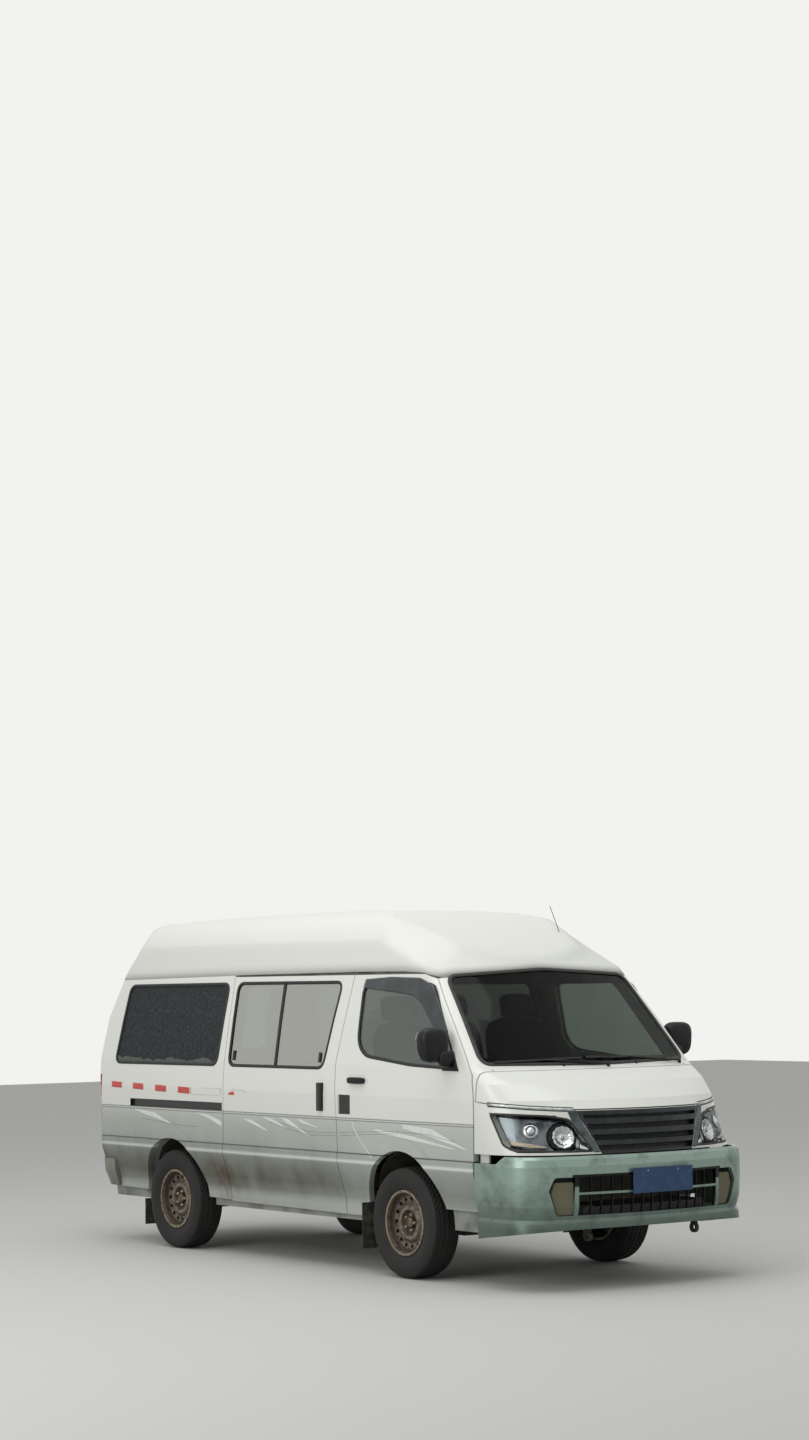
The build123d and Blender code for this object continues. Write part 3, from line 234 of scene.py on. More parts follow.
# Side frames with the door posts: pressed steel in a thin grey enamel, sprayed without a top coat, so
# it is flat and a little patchy where the doors open.
inner_enamel = finish("grey_enamel_inside", "8E908A", "6E6F69", 200, 3, (0.5, 0.7), 0.05)
coat_nodes(inner_enamel, "side_frame_left", "side_frame_right")

# Decals on the right side: pale brush strokes and a fan between the lines, thin dark hairlines, a
# bright pinstripe, and red reflective foil cut in rectangles, one torn. All are vinyl film, glued on.
# Plan slices of the body, each with its height, half width, front, bow radius and corner radius.
SLICES = np.array([
    (282, 768, 2340, 2600, 300), (430, 780, 2360, 2600, 300), (643, 845, 2380, 2600, 320),
    (700, 845, 2425, 2600, 350), (706, 839, 2425, 2600, 350), (1002, 838, 2400, 1200, 376),
    (1050, 838, 2348, 1350, 350), (1140, 833, 2190, 1900, 220), (1230, 826, 1976, 2715, 80),
    (1500, 784, 1727, 2790, 72), (1797, 731, 1447, 2871, 110), (1990, 704, 1222, 2880, 500),
]) / 1000


def on_side(x, z, side, lift):
    """Point on the body side: y is the half width at that height, linear between the plan slices,
    plus the lift, on the side given as -1 or 1."""
    y = side * (np.interp(z, SLICES[:, 0], SLICES[:, 1]) + lift)
    return np.stack(np.broadcast_arrays(x, y, z), axis=-1)


def read_evenly(line, share):
    """Points of a line at shares of its length, linear between its own points."""
    run = np.concatenate([[0], np.cumsum(np.linalg.norm(np.diff(line, axis=0), axis=1))])
    return np.stack([np.interp(share * run[-1], run, line[:, k]) for k in (0, 1)], axis=-1)


def between(top, bottom, rows):
    """Grid whose rows pass in even steps from one line of points to another."""
    down = np.linspace(0, 1, rows)[:, None, None]
    return top[None] * (1 - down) + bottom[None] * down


def grid_faces(rows, columns, wrap_rows=False, wrap_columns=False):
    """Quads between neighbours of a grid whose point (i, j) has index i * columns + j."""
    i, j = np.meshgrid(np.arange(rows if wrap_rows else rows - 1),
                       np.arange(columns if wrap_columns else columns - 1), indexing="ij")
    a, b = i % rows, (i + 1) % rows
    c, d = j % columns, (j + 1) % columns
    return np.stack([a * columns + c, b * columns + c, b * columns + d, a * columns + d], axis=-1).reshape(-1, 4)


def closed_sheet(outer, inner):
    """Points and faces of a sheet between two equal grids: both grids, the inner one turned round,
    and a strip of quads round the border."""
    rows, columns = outer.shape[:2]
    faces = grid_faces(rows, columns)
    border = np.concatenate([np.arange(columns), np.arange(1, rows) * columns + columns - 1,
                             np.arange(columns - 2, -1, -1) + (rows - 1) * columns,
                             np.arange(rows - 2, 0, -1) * columns])
    after = np.roll(border, -1)
    rim = np.stack([border, after, after + rows * columns, border + rows * columns], axis=-1)
    points = np.concatenate([outer.reshape(-1, 3), inner.reshape(-1, 3)])
    return points, np.concatenate([faces, faces[:, ::-1] + rows * columns, rim])


def add_piece(name, points, faces, material, body, slot, smooth=True):
    """Make a mesh object from points and faces, with its normals outwards, riding on a body."""
    mesh = bpy.data.meshes.new(name)
    mesh.from_pydata(np.reshape(points, (-1, 3)).tolist(), [], [list(face) for face in faces])
    made = bmesh.new()
    made.from_mesh(mesh)
    bmesh.ops.remove_doubles(made, verts=made.verts, dist=1e-6)
    bmesh.ops.recalc_face_normals(made, faces=made.faces)
    made.to_mesh(mesh)
    made.free()
    mesh.polygons.foreach_set("use_smooth", np.full(len(mesh.polygons), smooth))
    mesh.materials.append(material)
    piece = bpy.data.objects.new(name, mesh)
    bpy.context.scene.collection.objects.link(piece)
    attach(piece, body)
    return piece


def side_film(name, top, bottom, material, body, slot, lift=0.0006, under=0.0001, side=-1):
    """Closed sheet on the body side between two lines of (x, z) in millimetres, each read at even
    shares of its length. The lift and the value under it are the heights of its two faces."""
    share = np.linspace(0, 1, 41)
    flat = between(read_evenly(np.array(top) / 1000, share), read_evenly(np.array(bottom) / 1000, share), 7)
    outer, inner = (on_side(flat[..., 0], flat[..., 1], side, height) for height in (lift, under))
    return add_piece(name, *closed_sheet(outer, inner), material, body, slot)


# The brush strokes and the fan are pale film that shines a little more than the enamel.
pale_film = finish("pale_vinyl_film", "D2D5CF", "C6CAC4", 60, 3, (0.35, 0.5), 0.01)
STROKES = {
    "stroke_rear_1": ([(-1900, 897), (-1640, 878), (-1420, 812)], [(-1900, 893), (-1740, 858), (-1420, 809)]),
    "stroke_rear_2": ([(-1110, 895), (-949, 882), (-803, 846)], [(-1110, 891), (-990, 868), (-803, 812)]),
    "stroke_slide_1": ([(-533, 872), (-445, 868), (-259, 808)], [(-533, 868), (-470, 850), (-262, 804)]),
    "stroke_slide_2": ([(-310, 894), (-202, 880), (-48, 834)], [(-310, 890), (-225, 862), (-52, 830)]),
    "stroke_slide_3": ([(-102, 894), (-19, 882), (202, 794)], [(-102, 890), (-45, 860), (198, 790)]),
    "stroke_slide_4": ([(78, 894), (147, 880), (297, 848)], [(78, 890), (125, 866), (294, 845)]),
    "fan_front_1": ([(1180, 893), (1463, 877), (1807, 771)], [(1180, 868), (1400, 838), (1807, 768)]),
    "fan_front_2": ([(900, 858), (1300, 826), (1700, 771)], [(900, 842), (1250, 806), (1690, 768)]),
}
for name, (top, bottom) in STROKES.items():
    side_film(name, top, bottom, pale_film, "front_door_right" if "front" in name else "root", "white_paint")

# Hairlines 2.5 mm wide in a grey film that reads as a drawn line, and the pinstripe over them.
dark_film = finish("dark_vinyl_hairline", "7C7F79", "6A6D68", 60, 3, (0.4, 0.5), 0.01)
HAIR_WIDTH = 2.5
HAIRS = {
    "hair_slide_1": [(-244, 864), (-19, 827), (202, 799), (490, 806)],
    "hair_slide_2": [(-130, 864), (147, 823), (300, 818), (490, 824)],
    "hair_rear": [(-1800, 838), (-1500, 816), (-1250, 806), (-1100, 805)],
    "hair_front_1": [(528, 806), (812, 824), (1100, 838)],
    "hair_front_2": [(528, 826), (786, 838), (1100, 852)],
    "hair_front_3": [(1120, 852), (1420, 846), (1700, 812)],
}
for name, line in HAIRS.items():
    side_film(name, line, [(x, z - HAIR_WIDTH) for x, z in line], dark_film,
              "front_door_right" if "front" in name else "root", "black_plastic")
PINSTRIPE = [(669, 898), (692, 854), (748, 790), (826, 728), (880, 690)]
side_film("pinstripe", PINSTRIPE, [(x - 6, z - 3) for x, z in PINSTRIPE], pale_film, "front_door_right",
          "white_paint", 0.0008)

# The reflective marks are red foil with a fine bead texture, faded in patches; where two have worn
# away, only threads of their grey backing are left. Each has its upper left and lower right corner.
red_foil = finish("red_reflective_foil", "C2453B", "B03A32", 40, 3, (0.35, 0.5), 0.02)
grey_foil = finish("worn_foil_backing", "B9BAB3", "A5A69F", 30, 3, (0.5, 0.7), 0.02)
MARKS = [(-2207, 1075, -2073, 1032), (-1923, 1070, -1786, 1026), (-1631, 1063, -1490, 1018),
         (-1340, 1058, -1196, 1013)]
TRACES = [(-1190, 1055, -1172, 1014), (-1035, 1056, -808, 1053), (-820, 1053, -808, 1018),
          (-1150, 1012, -830, 1009)]
for number, (x0, z0, x1, z1) in enumerate(MARKS):
    side_film(f"red_mark_{number + 1}", [(x0, z0), (x1, z0 - 4)], [(x0, z1 + 4), (x1, z1)], red_foil, "root",
              "tail_lens", 0.0008)
for number, (x0, z0, x1, z1) in enumerate(TRACES):
    side_film(f"foil_trace_{number + 1}", [(x0, z0), (x1, z0)], [(x0, z1), (x1, z1)], grey_foil, "root",
              "white_paint")
side_film("red_mark_torn", [(-725, 1022), (-700, 1036), (-655, 1042)], [(-725, 1019), (-700, 1019), (-650, 1018)],
          red_foil, "root", "tail_lens", 0.0008)
side_film("foil_trace_5", [(-690, 1056), (-560, 1052), (-500, 1040)], [(-690, 1053), (-562, 1048), (-503, 1034)],
          grey_foil, "root", "white_paint")


# Window rubbers: black EPDM, extruded, about 20 mm wide and round in section, pushed over the edge of
# each opening. The sliding window has an upright and two catches of the same dull black.
def rounded(corners, radius):
    """Closed outline of 400 points: each corner is a quadratic curve, (1-t)^2 A + 2t(1-t) C + t^2 B,
    between points at the radius from the corner C, and all is then read at even steps of length."""
    corners = np.array(corners, float) / 1000
    before = np.roll(corners, 1, 0) - corners
    after = np.roll(corners, -1, 0) - corners
    start = corners + before / np.linalg.norm(before, axis=1)[:, None] * radius / 1000
    end = corners + after / np.linalg.norm(after, axis=1)[:, None] * radius / 1000
    t = np.linspace(0, 1, 13)[None, :, None]
    line = (1 - t) ** 2 * start[:, None] + 2 * t * (1 - t) * corners[:, None] + t ** 2 * end[:, None]
    line = line.reshape(-1, 2)
    return read_evenly(np.concatenate([line, line[:1]]), np.linspace(0, 1, 401)[:-1])


def beading(path, outward, width, height, closed=True):
    """Strip of elliptical section swept along a path: point(i, a) = path(i) + across * width/2 * cos a
    + outward * height/2 * sin a, where across is at right angles to the path and to outward."""
    along = np.roll(path, -1, 0) - np.roll(path, 1, 0) if closed else np.gradient(path, axis=0)
    across = np.cross(along, outward)
    across /= np.linalg.norm(across, axis=1)[:, None]
    a = np.arange(12) / 12 * 2 * np.pi
    points = path[:, None] + across[:, None] * (np.cos(a) * width / 2)[None, :, None] \
        + outward[:, None] * (np.sin(a) * height / 2)[None, :, None]
    faces = grid_faces(len(path), 12, closed, True).tolist()
    if not closed:
        faces += [list(range(12)), list(range((len(path) - 1) * 12, len(path) * 12))]
    return points, faces


def nose_place(share, z, depth=0.0):
    """Point on the nose. The share runs 0 to 1 along the front bow and 1 to 2 round the corner, to the
    left of the van when positive. The bow is an arc about the middle, the corner an arc that touches
    it and the side, and heights between two slices are linear between their points."""
    share, z = np.broadcast_arrays(np.asarray(share, float), np.asarray(z, float))
    low = np.clip(np.searchsorted(SLICES[:, 0], z) - 1, 0, len(SLICES) - 2)
    points = []
    for level in (low, low + 1):
        half, front, bow, corner = (SLICES[level, k] for k in (1, 2, 3, 4))
        meet = np.arcsin((half - corner) / (bow - corner))
        on_bow = np.minimum(np.abs(share), 1) * meet
        turned_by = meet + np.clip(np.abs(share) - 1, 0, 1) * (np.pi / 2 - meet)
        x = front - bow + bow * np.cos(on_bow) + corner * (np.cos(turned_by) - np.cos(meet))
        y = bow * np.sin(on_bow) + corner * (np.sin(turned_by) - np.sin(meet))
        angle = np.where(np.abs(share) <= 1, on_bow, turned_by)
        points.append(np.stack([x - depth * np.cos(angle), np.sign(share) * (y - depth * np.sin(angle))], axis=-1))
    mix = ((z - SLICES[low, 0]) / (SLICES[low + 1, 0] - SLICES[low, 0]))[..., None]
    return np.concatenate([points[0] * (1 - mix) + points[1] * mix, z[..., None]], axis=-1)


def nose_share(y, z):
    """Share at which the nose has a given y at height z: found in a table of 801 shares for each
    height, linear between the two whose half widths lie round |y|, with the sign of y."""
    y, z = np.broadcast_arrays(np.asarray(y, float), np.asarray(z, float))
    table = np.linspace(0, 2, 801)
    reach = nose_place(table, z[..., None])[..., 1]
    after = np.clip((reach < np.abs(y)[..., None]).sum(axis=-1), 1, 800)
    low, high = (np.take_along_axis(reach, index[..., None], -1)[..., 0] for index in (after - 1, after))
    part = np.clip((np.abs(y) - low) / (high - low), 0, 1)
    return np.sign(y) * (table[after - 1] + part * (table[after] - table[after - 1]))


def nose_normal(share, z):
    """Outward direction of the nose: the cross product of its change with share and with height."""
    up = nose_place(share, z + 0.002) - nose_place(share, z - 0.002)
    side = nose_place(share + 0.002, z) - nose_place(share - 0.002, z)
    out = np.cross(side, up)
    return out / np.linalg.norm(out, axis=-1)[..., None]


def nose_beading(name, line, width, height, lift, material, slot, closed=True):
    """Beading along (y, z) points in metres on the nose."""
    share = nose_share(line[:, 0], line[:, 1])
    out = nose_normal(share, line[:, 1])
    path = nose_place(share, line[:, 1]) + out * lift
    return add_piece(name, *beading(path, out, width, height, closed), material, "root", slot)


# EPDM goes from black to a dusty brown-black in the sun and is faintly pitted.
window_rubber = finish("weathered_epdm_rubber", "121313", "25261F", 50, 2, (0.5, 0.75), 0.06)


def side_beading(name, x, z, side, lift, width, height, body, closed=True):
    """Rubber beading along points of the body side, with its height square to the side, about 7 degrees up."""
    outward = np.tile([0.0, side * 0.992, 0.12], (len(x), 1))
    points, faces = beading(on_side(x, z, side, lift), outward, width, height, closed)
    return add_piece(name, points, faces, window_rubber, body, "black_plastic")


MIDDLE_PANE = [(-732, 1726), (-732, 1206), (345, 1206), (452, 1726)]
QUARTER_PANE = [(-2095, 1718), (-2172, 1203), (-872, 1206), (-835, 1724)]
DOOR_PANE = [(682, 1708), (690, 1362), (775, 1286), (1250, 1240), (1702, 1226), (1398, 1708)]
WINDSCREEN = [(-757, 1250), (0, 1238), (757, 1250), (666, 1754), (0, 1790), (-666, 1754)]
WINDOWS = {
    "slide": (MIDDLE_PANE, -1, "root"), "quarter": (QUARTER_PANE, -1, "root"),
    "side_left": (MIDDLE_PANE, 1, "root"), "quarter_left": (QUARTER_PANE, 1, "root"),
    "door_right": (DOOR_PANE, -1, "front_door_right"), "door_left": (DOOR_PANE, 1, "front_door_left"),
}
for name, (corners, side, body) in WINDOWS.items():
    line = rounded(corners, 62)
    side_beading(f"rubber_{name}", line[:, 0], line[:, 1], side, 0.0, 0.020, 0.008, body)
nose_beading("rubber_screen", rounded(WINDSCREEN, 60), 0.026, 0.009, 0.0, window_rubber, "black_plastic")
side_beading("sliding_window_upright", np.full(60, -0.190), np.linspace(1.216, 1.716, 60), -1, -0.002, 0.026,
             0.009, "root", False)
for label, x in (("rear", -0.678), ("front", 0.300)):
    side_beading(f"window_catch_{label}", np.full(24, x), np.linspace(1.240, 1.300, 24), -1, -0.001, 0.022,
                 0.014, "root", False)

# Glazing: 5 mm toughened glass. The windscreen and the door glass are clear with a green-grey cast,
# the windows between FILM_FROM and FILM_TO carry a bright mirror film, and the right rear quarter
# glass has been brushed over matt black, thinly and with a ragged lower edge.
FILM_FROM, FILM_TO = -0.8, 0.7


def glazing(name, tint, painted):
    """Tinted glass. Where painted, the right side is opaque behind x = FILM_FROM, in a mottled black
    coat that is paler under a ragged line, and both sides carry a film from there to FILM_TO. The
    IOR is lower than that of glass, because the full one lays the white studio over the windscreen."""
    material, tree, shader, place = new_finish(name)
    smears = add_node(tree, "ShaderNodeTexNoise", {"Scale": 7.0, "Detail": 5.0}, {"Vector": place}, "Fac")
    if not painted:
        haze = add_node(tree, "ShaderNodeMapRange", {1: 0.45, 2: 0.75, 3: 0.02, 4: 0.10}, {0: smears})
        tone = add_node(tree, "ShaderNodeMix", {"data_type": "RGBA", 6: linear(tint), 7: linear("6E736F")},
                        {0: haze}, 2)
        feed(tree, shader, {"IOR": 1.4, "Metallic": 0.16, "Roughness": haze, "Base Color": tone,
                            "Transmission Weight": 1.0})
        return material
    x, y, z = add_node(tree, "ShaderNodeSeparateXYZ", {}, {0: place}, None).outputs
    behind = add_node(tree, "ShaderNodeMath", {"operation": "LESS_THAN", 1: FILM_FROM}, {0: x})
    on_right = add_node(tree, "ShaderNodeMath", {"operation": "LESS_THAN", 1: 0.0}, {0: y})
    brushed = add_node(tree, "ShaderNodeMath", {"operation": "MULTIPLY"}, {0: behind, 1: on_right})
    speckle = add_node(tree, "ShaderNodeTexNoise", {"Scale": 55.0, "Detail": 6.0, "Roughness": 0.7},
                       {"Vector": place}, "Fac")
    ragged = add_node(tree, "ShaderNodeMath", {"operation": "MULTIPLY_ADD", 1: 0.10, 2: 1.185}, {0: smears})
    under = add_node(tree, "ShaderNodeMath", {"operation": "LESS_THAN"}, {0: z, 1: ragged})
    coat = graded(tree, speckle, 0.3, 0.75, [(0.3, "26292A"), (0.5, "2F3334"), (0.75, "474B4A")])
    worn = add_node(tree, "ShaderNodeMix", {"data_type": "RGBA", 7: linear("5A5E58")}, {0: under, 6: coat}, 2)
    before = add_node(tree, "ShaderNodeMath", {"operation": "LESS_THAN", 1: FILM_TO}, {0: x})
    filmed = add_node(tree, "ShaderNodeMath", {"operation": "SUBTRACT"}, {0: before, 1: brushed})
    mirror = add_node(tree, "ShaderNodeMapRange", {3: 0.0, 4: 0.62}, {0: filmed})
    film = add_node(tree, "ShaderNodeMix", {"data_type": "RGBA", 6: linear(tint), 7: linear("C4C7C0")},
                    {0: filmed}, 2)
    colour = add_node(tree, "ShaderNodeMix", {"data_type": "RGBA"}, {0: brushed, 6: film, 7: worn}, 2)
    clear = add_node(tree, "ShaderNodeMapRange", {3: 1.0, 4: 0.0}, {0: brushed})
    rough = add_node(tree, "ShaderNodeMapRange", {3: 0.03, 4: 0.55}, {0: brushed})
    feed(tree, shader, {"IOR": 1.15, "Metallic": mirror, "Base Color": colour, "Transmission Weight": clear,
                        "Roughness": rough})
    return material


coat_nodes(glazing("tinted_toughened_glass", "8B948F", True), "body_glass")
coat_nodes(glazing("clear_toughened_glass", "AEB6B0", False), "door_glass_left", "door_glass_right", "tailgate_glass")


# Rain visor over the right door window: one 2.5 mm sheet of smoked acrylic, thermoformed so that it
# arches up to 16 mm off the door, and taped on by its upper edge. It is near black and glossy.
def by_point(line, share):
    """Points of a line whose own points lie at even shares from 0 to 1, linear between them."""
    marks = np.linspace(0, 1, len(line))
    return np.stack([np.interp(share, marks, line[:, k]) for k in (0, 1)], axis=-1)


acrylic = finish("smoked_acrylic", "1F2427", "2E3436", 120, 3, (0.10, 0.2), 0.01, Specular_IOR_Level=0.6)
LOWER_EDGE = np.array([(0.690, 1.690), (0.960, 1.668), (1.225, 1.642), (1.315, 1.596), (1.425, 1.490),
                       (1.515, 1.400)])
UPPER_EDGE = np.array([(0.700, 1.742), (0.960, 1.754), (1.250, 1.746), (1.385, 1.704), (1.500, 1.560),
                       (1.585, 1.437)])
VISOR_THICK = 0.0025
share = np.linspace(0, 1, 60)
down = np.linspace(0, 1, 12)[:, None]
flat = between(by_point(UPPER_EDGE, share), by_point(LOWER_EDGE, share), 12)
arch = 0.005 + 0.011 * np.sin(down * np.pi / 2) * np.sin(np.clip(share, 0.03, 0.97) * np.pi) ** 0.3
outer, inner = (on_side(flat[..., 0], flat[..., 1], -1, lift) for lift in (arch, arch - VISOR_THICK))
add_piece("door_visor", *closed_sheet(outer, inner), acrylic, "front_door_right", "glass")

# Mirrors, door handles and wiper arms: injection-moulded black ABS, finely grained and matt. Each
# mirror is a rounded shell on a short neck, over a flat base at the corner of the door window.
grained_abs = finish("grained_black_abs", "090A0B", "121314", 70, 1.5, (0.4, 0.6), 0.05, Specular_IOR_Level=0.3)
coat_nodes(grained_abs, "door_trim_left", "door_trim_right", "wipers")


def egg(middle, reach, power, taper=0.0, rows=40, columns=72):
    """Closed rounded body: cosines and sines of two angles raised to a power, which is 1 for an
    ellipsoid and nears a box at 0, scaled by the reach, and wider towards the top by the taper."""
    u = np.linspace(-np.pi / 2, np.pi / 2, rows)[:, None]
    v = np.linspace(-np.pi, np.pi, columns + 1)[None, :-1]
    waves = np.broadcast_arrays(np.cos(u), np.sin(u), np.cos(v), np.sin(v))
    flat, up, ahead, across = (np.sign(wave) * np.abs(wave) ** power for wave in waves)
    shape = np.stack([flat * ahead, flat * across * (1 + taper * up), up], axis=-1)
    return shape * np.array(reach) + np.array(middle), grid_faces(rows, columns, False, True)


# The mirror itself is float glass silvered on the back: a nearly white metal without grain.
silvered_glass = finish("silvered_mirror_glass", "C9CDCE", "B5BABB", 90, 8, (0.03, 0.06), 0.0, 1.0)
for side, hand in ((-1, "right"), (1, "left")):
    body = f"front_door_{hand}"
    shell = egg((1.613, side * 0.926, 1.360), (0.056, 0.091, 0.100), 0.62, 0.10)
    glass = egg((1.5585, side * 0.927, 1.361), (0.0035, 0.075, 0.082), 0.55, 0.10)
    neck = egg((1.652, side * 0.862, 1.281), (0.034, 0.052, 0.048), 0.70, 0.10)
    handle = egg((0.7185, side * 0.8445, 1.139), (0.086, 0.0125, 0.019), 0.45)
    pieces = [
        add_piece(f"mirror_shell_{hand}", *shell, grained_abs, body, "black_plastic"),
        add_piece(f"mirror_glass_{hand}", *glass, silvered_glass, body, "glass"),
        add_piece(f"mirror_arm_{hand}", *neck, grained_abs, body, "black_plastic"),
        side_film(f"mirror_base_{hand}", [(1642, 1322), (1664, 1322)], [(1578, 1213), (1726, 1213)], grained_abs,
                  body, "black_plastic", 0.012, 0.0005, side),
        add_piece(f"door_handle_{hand}", *handle, grained_abs, body, "black_plastic"),
    ]
    for piece in pieces:
        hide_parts(f"door_trim_{hand}")


# Bumpers: injection-moulded polypropylene, bolted to the rails. The front one is sprayed with a
# grey-green metallic, the rear one with a dull grey, both paler on top and darker underneath, with
# patches of grime; the deep recess of the front one is painted shade.
def moulded_paint(name, upper, lower, split, soft, grime, recess=False):
    """Metallic paint graded by height, darker towards the bottom: the lower colour under the split, the
    upper one above it, and grime where a noise of 150 mm patches is high. In the recess, a near-black
    painted shade takes over where the bowed depth x + y^2 / 5.2 is below 2.417 m at z = 0.40, rising
    to 2.4525 m at z = 0.60, as long as y^2 is below 0.30 and z below 0.645."""
    material, tree, shader, place = new_finish(name)
    x, y, z = add_node(tree, "ShaderNodeSeparateXYZ", {}, {0: place}, None).outputs
    # Darker towards the bottom: the lower colour lies under the split.
    base = graded(tree, z, split - soft, split + soft, [(split - soft, lower), (split + soft, upper)])
    patches = add_node(tree, "ShaderNodeTexNoise", {"Scale": 6.5, "Detail": 7.0, "Roughness": 0.65},
                       {"Vector": place}, "Fac")
    spread = add_node(tree, "ShaderNodeMapRange", {1: 0.48, 2: 0.72, 3: 0.0, 4: 0.6}, {0: patches})
    colour = add_node(tree, "ShaderNodeMix", {"data_type": "RGBA", 7: linear(grime)}, {0: spread, 6: base}, 2)
    if recess:
        bow = add_node(tree, "ShaderNodeMath", {"operation": "MULTIPLY"}, {0: y, 1: y})
        level = add_node(tree, "ShaderNodeMath", {"operation": "MULTIPLY_ADD", 1: 1 / 5.2}, {0: bow, 2: x})
        skin = add_node(tree, "ShaderNodeMapRange", {1: 0.40, 2: 0.60, 3: 2.4170, 4: 2.4525}, {0: z})
        deep = add_node(tree, "ShaderNodeMath", {"operation": "LESS_THAN"}, {0: level, 1: skin})
        middle = add_node(tree, "ShaderNodeMath", {"operation": "LESS_THAN", 1: 0.30}, {0: bow})
        low = add_node(tree, "ShaderNodeMath", {"operation": "LESS_THAN", 1: 0.645}, {0: z})
        inside = add_node(tree, "ShaderNodeMath", {"operation": "MULTIPLY"}, {0: deep, 1: middle})
        inside = add_node(tree, "ShaderNodeMath", {"operation": "MULTIPLY"}, {0: inside, 1: low})
        # Painted shade: the deep part of the recess is coloured near black.
        colour = add_node(tree, "ShaderNodeMix", {"data_type": "RGBA", 7: linear("0B0D0D")},
                          {0: inside, 6: colour}, 2)
    rough = add_node(tree, "ShaderNodeMapRange", {2: 0.6, 3: 0.33, 4: 0.75}, {0: spread})
    feed(tree, shader, {"Base Color": colour, "Roughness": rough, "Metallic": 0.6, "Coat Weight": 0.2})
    return material


coat_nodes(moulded_paint("metallic_bumper_paint", "8CA097", "4C5D56", 0.46, 0.12, "3C4239", True), "front_bumper")
coat_nodes(moulded_paint("rear_bumper_paint", "8B8E84", "66665A", 0.44, 0.09, "4E4B3E"), "rear_bumper")

# Radiator grille: ABS frame and thick bars in a satin blue-black, clipped to the nose, with a black
# woven mesh behind them that lies in shade and reads as near black.
grille_paint = finish("satin_grille_paint", "20272A", "14181A", 80, 2, (0.3, 0.45), 0.02, 0.3)
coat_nodes(grille_paint, "radiator_grille")
mesh_black = finish("shadowed_black_mesh", "0A0B0C", "141515", 12, 6, (0.6, 0.8), 0.4)

# The mesh follows the nose 27.5 mm behind it, with waves 2.8 mm deep of 12 by 10 mm; its half width
# grows with the height as the frame's does.
MESH_ROWS, MESH_COLUMNS = 40, 90
heights = np.linspace(0.772, 0.962, MESH_ROWS)[:, None]
mesh_y = np.interp(heights, [0.768, 0.968], [0.334, 0.412]) * np.linspace(-1, 1, MESH_COLUMNS)
mesh_z = heights + 0 * mesh_y
mesh_share = nose_share(mesh_y, mesh_z)
weave = 0.0028 * np.abs(np.sin(mesh_y * np.pi / 0.012)) * np.abs(np.sin(mesh_z * np.pi / 0.010))
mesh_points = [nose_place(mesh_share, mesh_z, depth) for depth in (0.0275 + weave, 0.0305 + 0 * weave)]
mesh_faces = grid_faces(MESH_ROWS, MESH_COLUMNS)
add_piece("grille_mesh", mesh_points, np.concatenate([mesh_faces, mesh_faces[:, ::-1] + mesh_y.size]), mesh_black,
          "root", "grille_plastic", False)

# Front lamps: one clear polycarbonate lens each for head and fog lamp, moulded in one shell and sealed
# with a black rubber. Above FOG_TOP it is clear over the bright parts behind it, below it is the
# yellowed, dusty fog lamp.
FOG_TOP = 0.62
clear_lens, tree, shader, place = new_finish("clear_polycarbonate_lens")
height = add_node(tree, "ShaderNodeSeparateXYZ", {}, {0: place}, "Z")
above = add_node(tree, "ShaderNodeMath", {"operation": "GREATER_THAN", 1: FOG_TOP}, {0: height})
tone = add_node(tree, "ShaderNodeMix", {"data_type": "RGBA", 6: linear("6E6B58"), 7: linear("E4E8E8")},
                {0: above}, 2)
feed(tree, shader, {"Transmission Weight": above, "Base Color": tone, "Roughness": 0.06, "IOR": 1.12})
coat_nodes(clear_lens, "front_lamps")

# Behind the lens: a housing painted satin grey, reflectors and a corner metallised bright as a mirror,
# an amber strip faded to beige, a silver fin and caps, and grille surrounds in satin grey paint.
housing_satin = finish("lamp_housing_satin", "777E81", "3A3F42", 90, 3, (0.25, 0.4), 0.02, 0.6)
mirror_chrome = finish("vacuum_metallised_reflector", "DADDDD", "C4C8C9", 40, 8, (0.12, 0.22), 0.3, 1.0)
amber_lens = finish("faded_amber_lens", "BDB09A", "A4957E", 20, 5, (0.2, 0.3), 0.4)
surround_paint = finish("satin_surround_paint", "4C5557", "32393B", 60, 2, (0.25, 0.4), 0.02, 0.3)
silver_trim = finish("silver_plastic_trim", "B0B5B2", "8A908D", 40, 3, (0.25, 0.4), 0.02, 0.6)


def nose_sheet(name, top, bottom, depth, thick, material, slot, rows, columns):
    """Closed sheet in the nose between a top and a bottom line of (y, z), sunk to a depth."""
    share = np.linspace(0, 1, columns)
    along = [np.stack([nose_share(line[:, 0], line[:, 1]), line[:, 1]], axis=-1) for line in (top, bottom)]
    flat = between(by_point(along[0], share), by_point(along[1], share), rows)
    inward = -nose_normal(flat[..., 0], flat[..., 1])
    outer = nose_place(flat[..., 0], flat[..., 1]) + inward * depth
    return add_piece(name, *closed_sheet(outer, outer + inward * thick), material, "root", slot)


def turned(name, profile, sides, centre, axis, material, body, slot, ripple=0.0, smooth=True):
    """Body turned about an axis: each (radius, offset) of the profile is carried round in even steps;
    a ripple makes the radius change by its share times cos(12 a)."""
    axis = np.array(axis, float) / np.linalg.norm(axis)
    first = np.cross(axis, [0.0, 0.0, 1.0])
    first /= np.linalg.norm(first)
    second = np.cross(axis, first)
    a = np.arange(sides) / sides * 2 * np.pi
    ring = np.cos(a)[:, None] * first + np.sin(a)[:, None] * second
    profile = np.array(profile, float)
    radius = profile[:, None, 0] * (1 + ripple * np.cos(12 * a)[None])
    points = np.array(centre) + radius[..., None] * ring[None] + profile[:, None, 1:2] * axis
    return add_piece(name, points, grid_faces(len(profile), sides, False, True), material, body, slot, smooth)


def lamp_axis(y, z):
    """Middle of a round part, 34 mm behind the lens, and the outward direction of the lens there."""
    share = nose_share(y, z)
    out = nose_normal(share, np.array(z))
    return nose_place(share, z) - out * 0.034, out


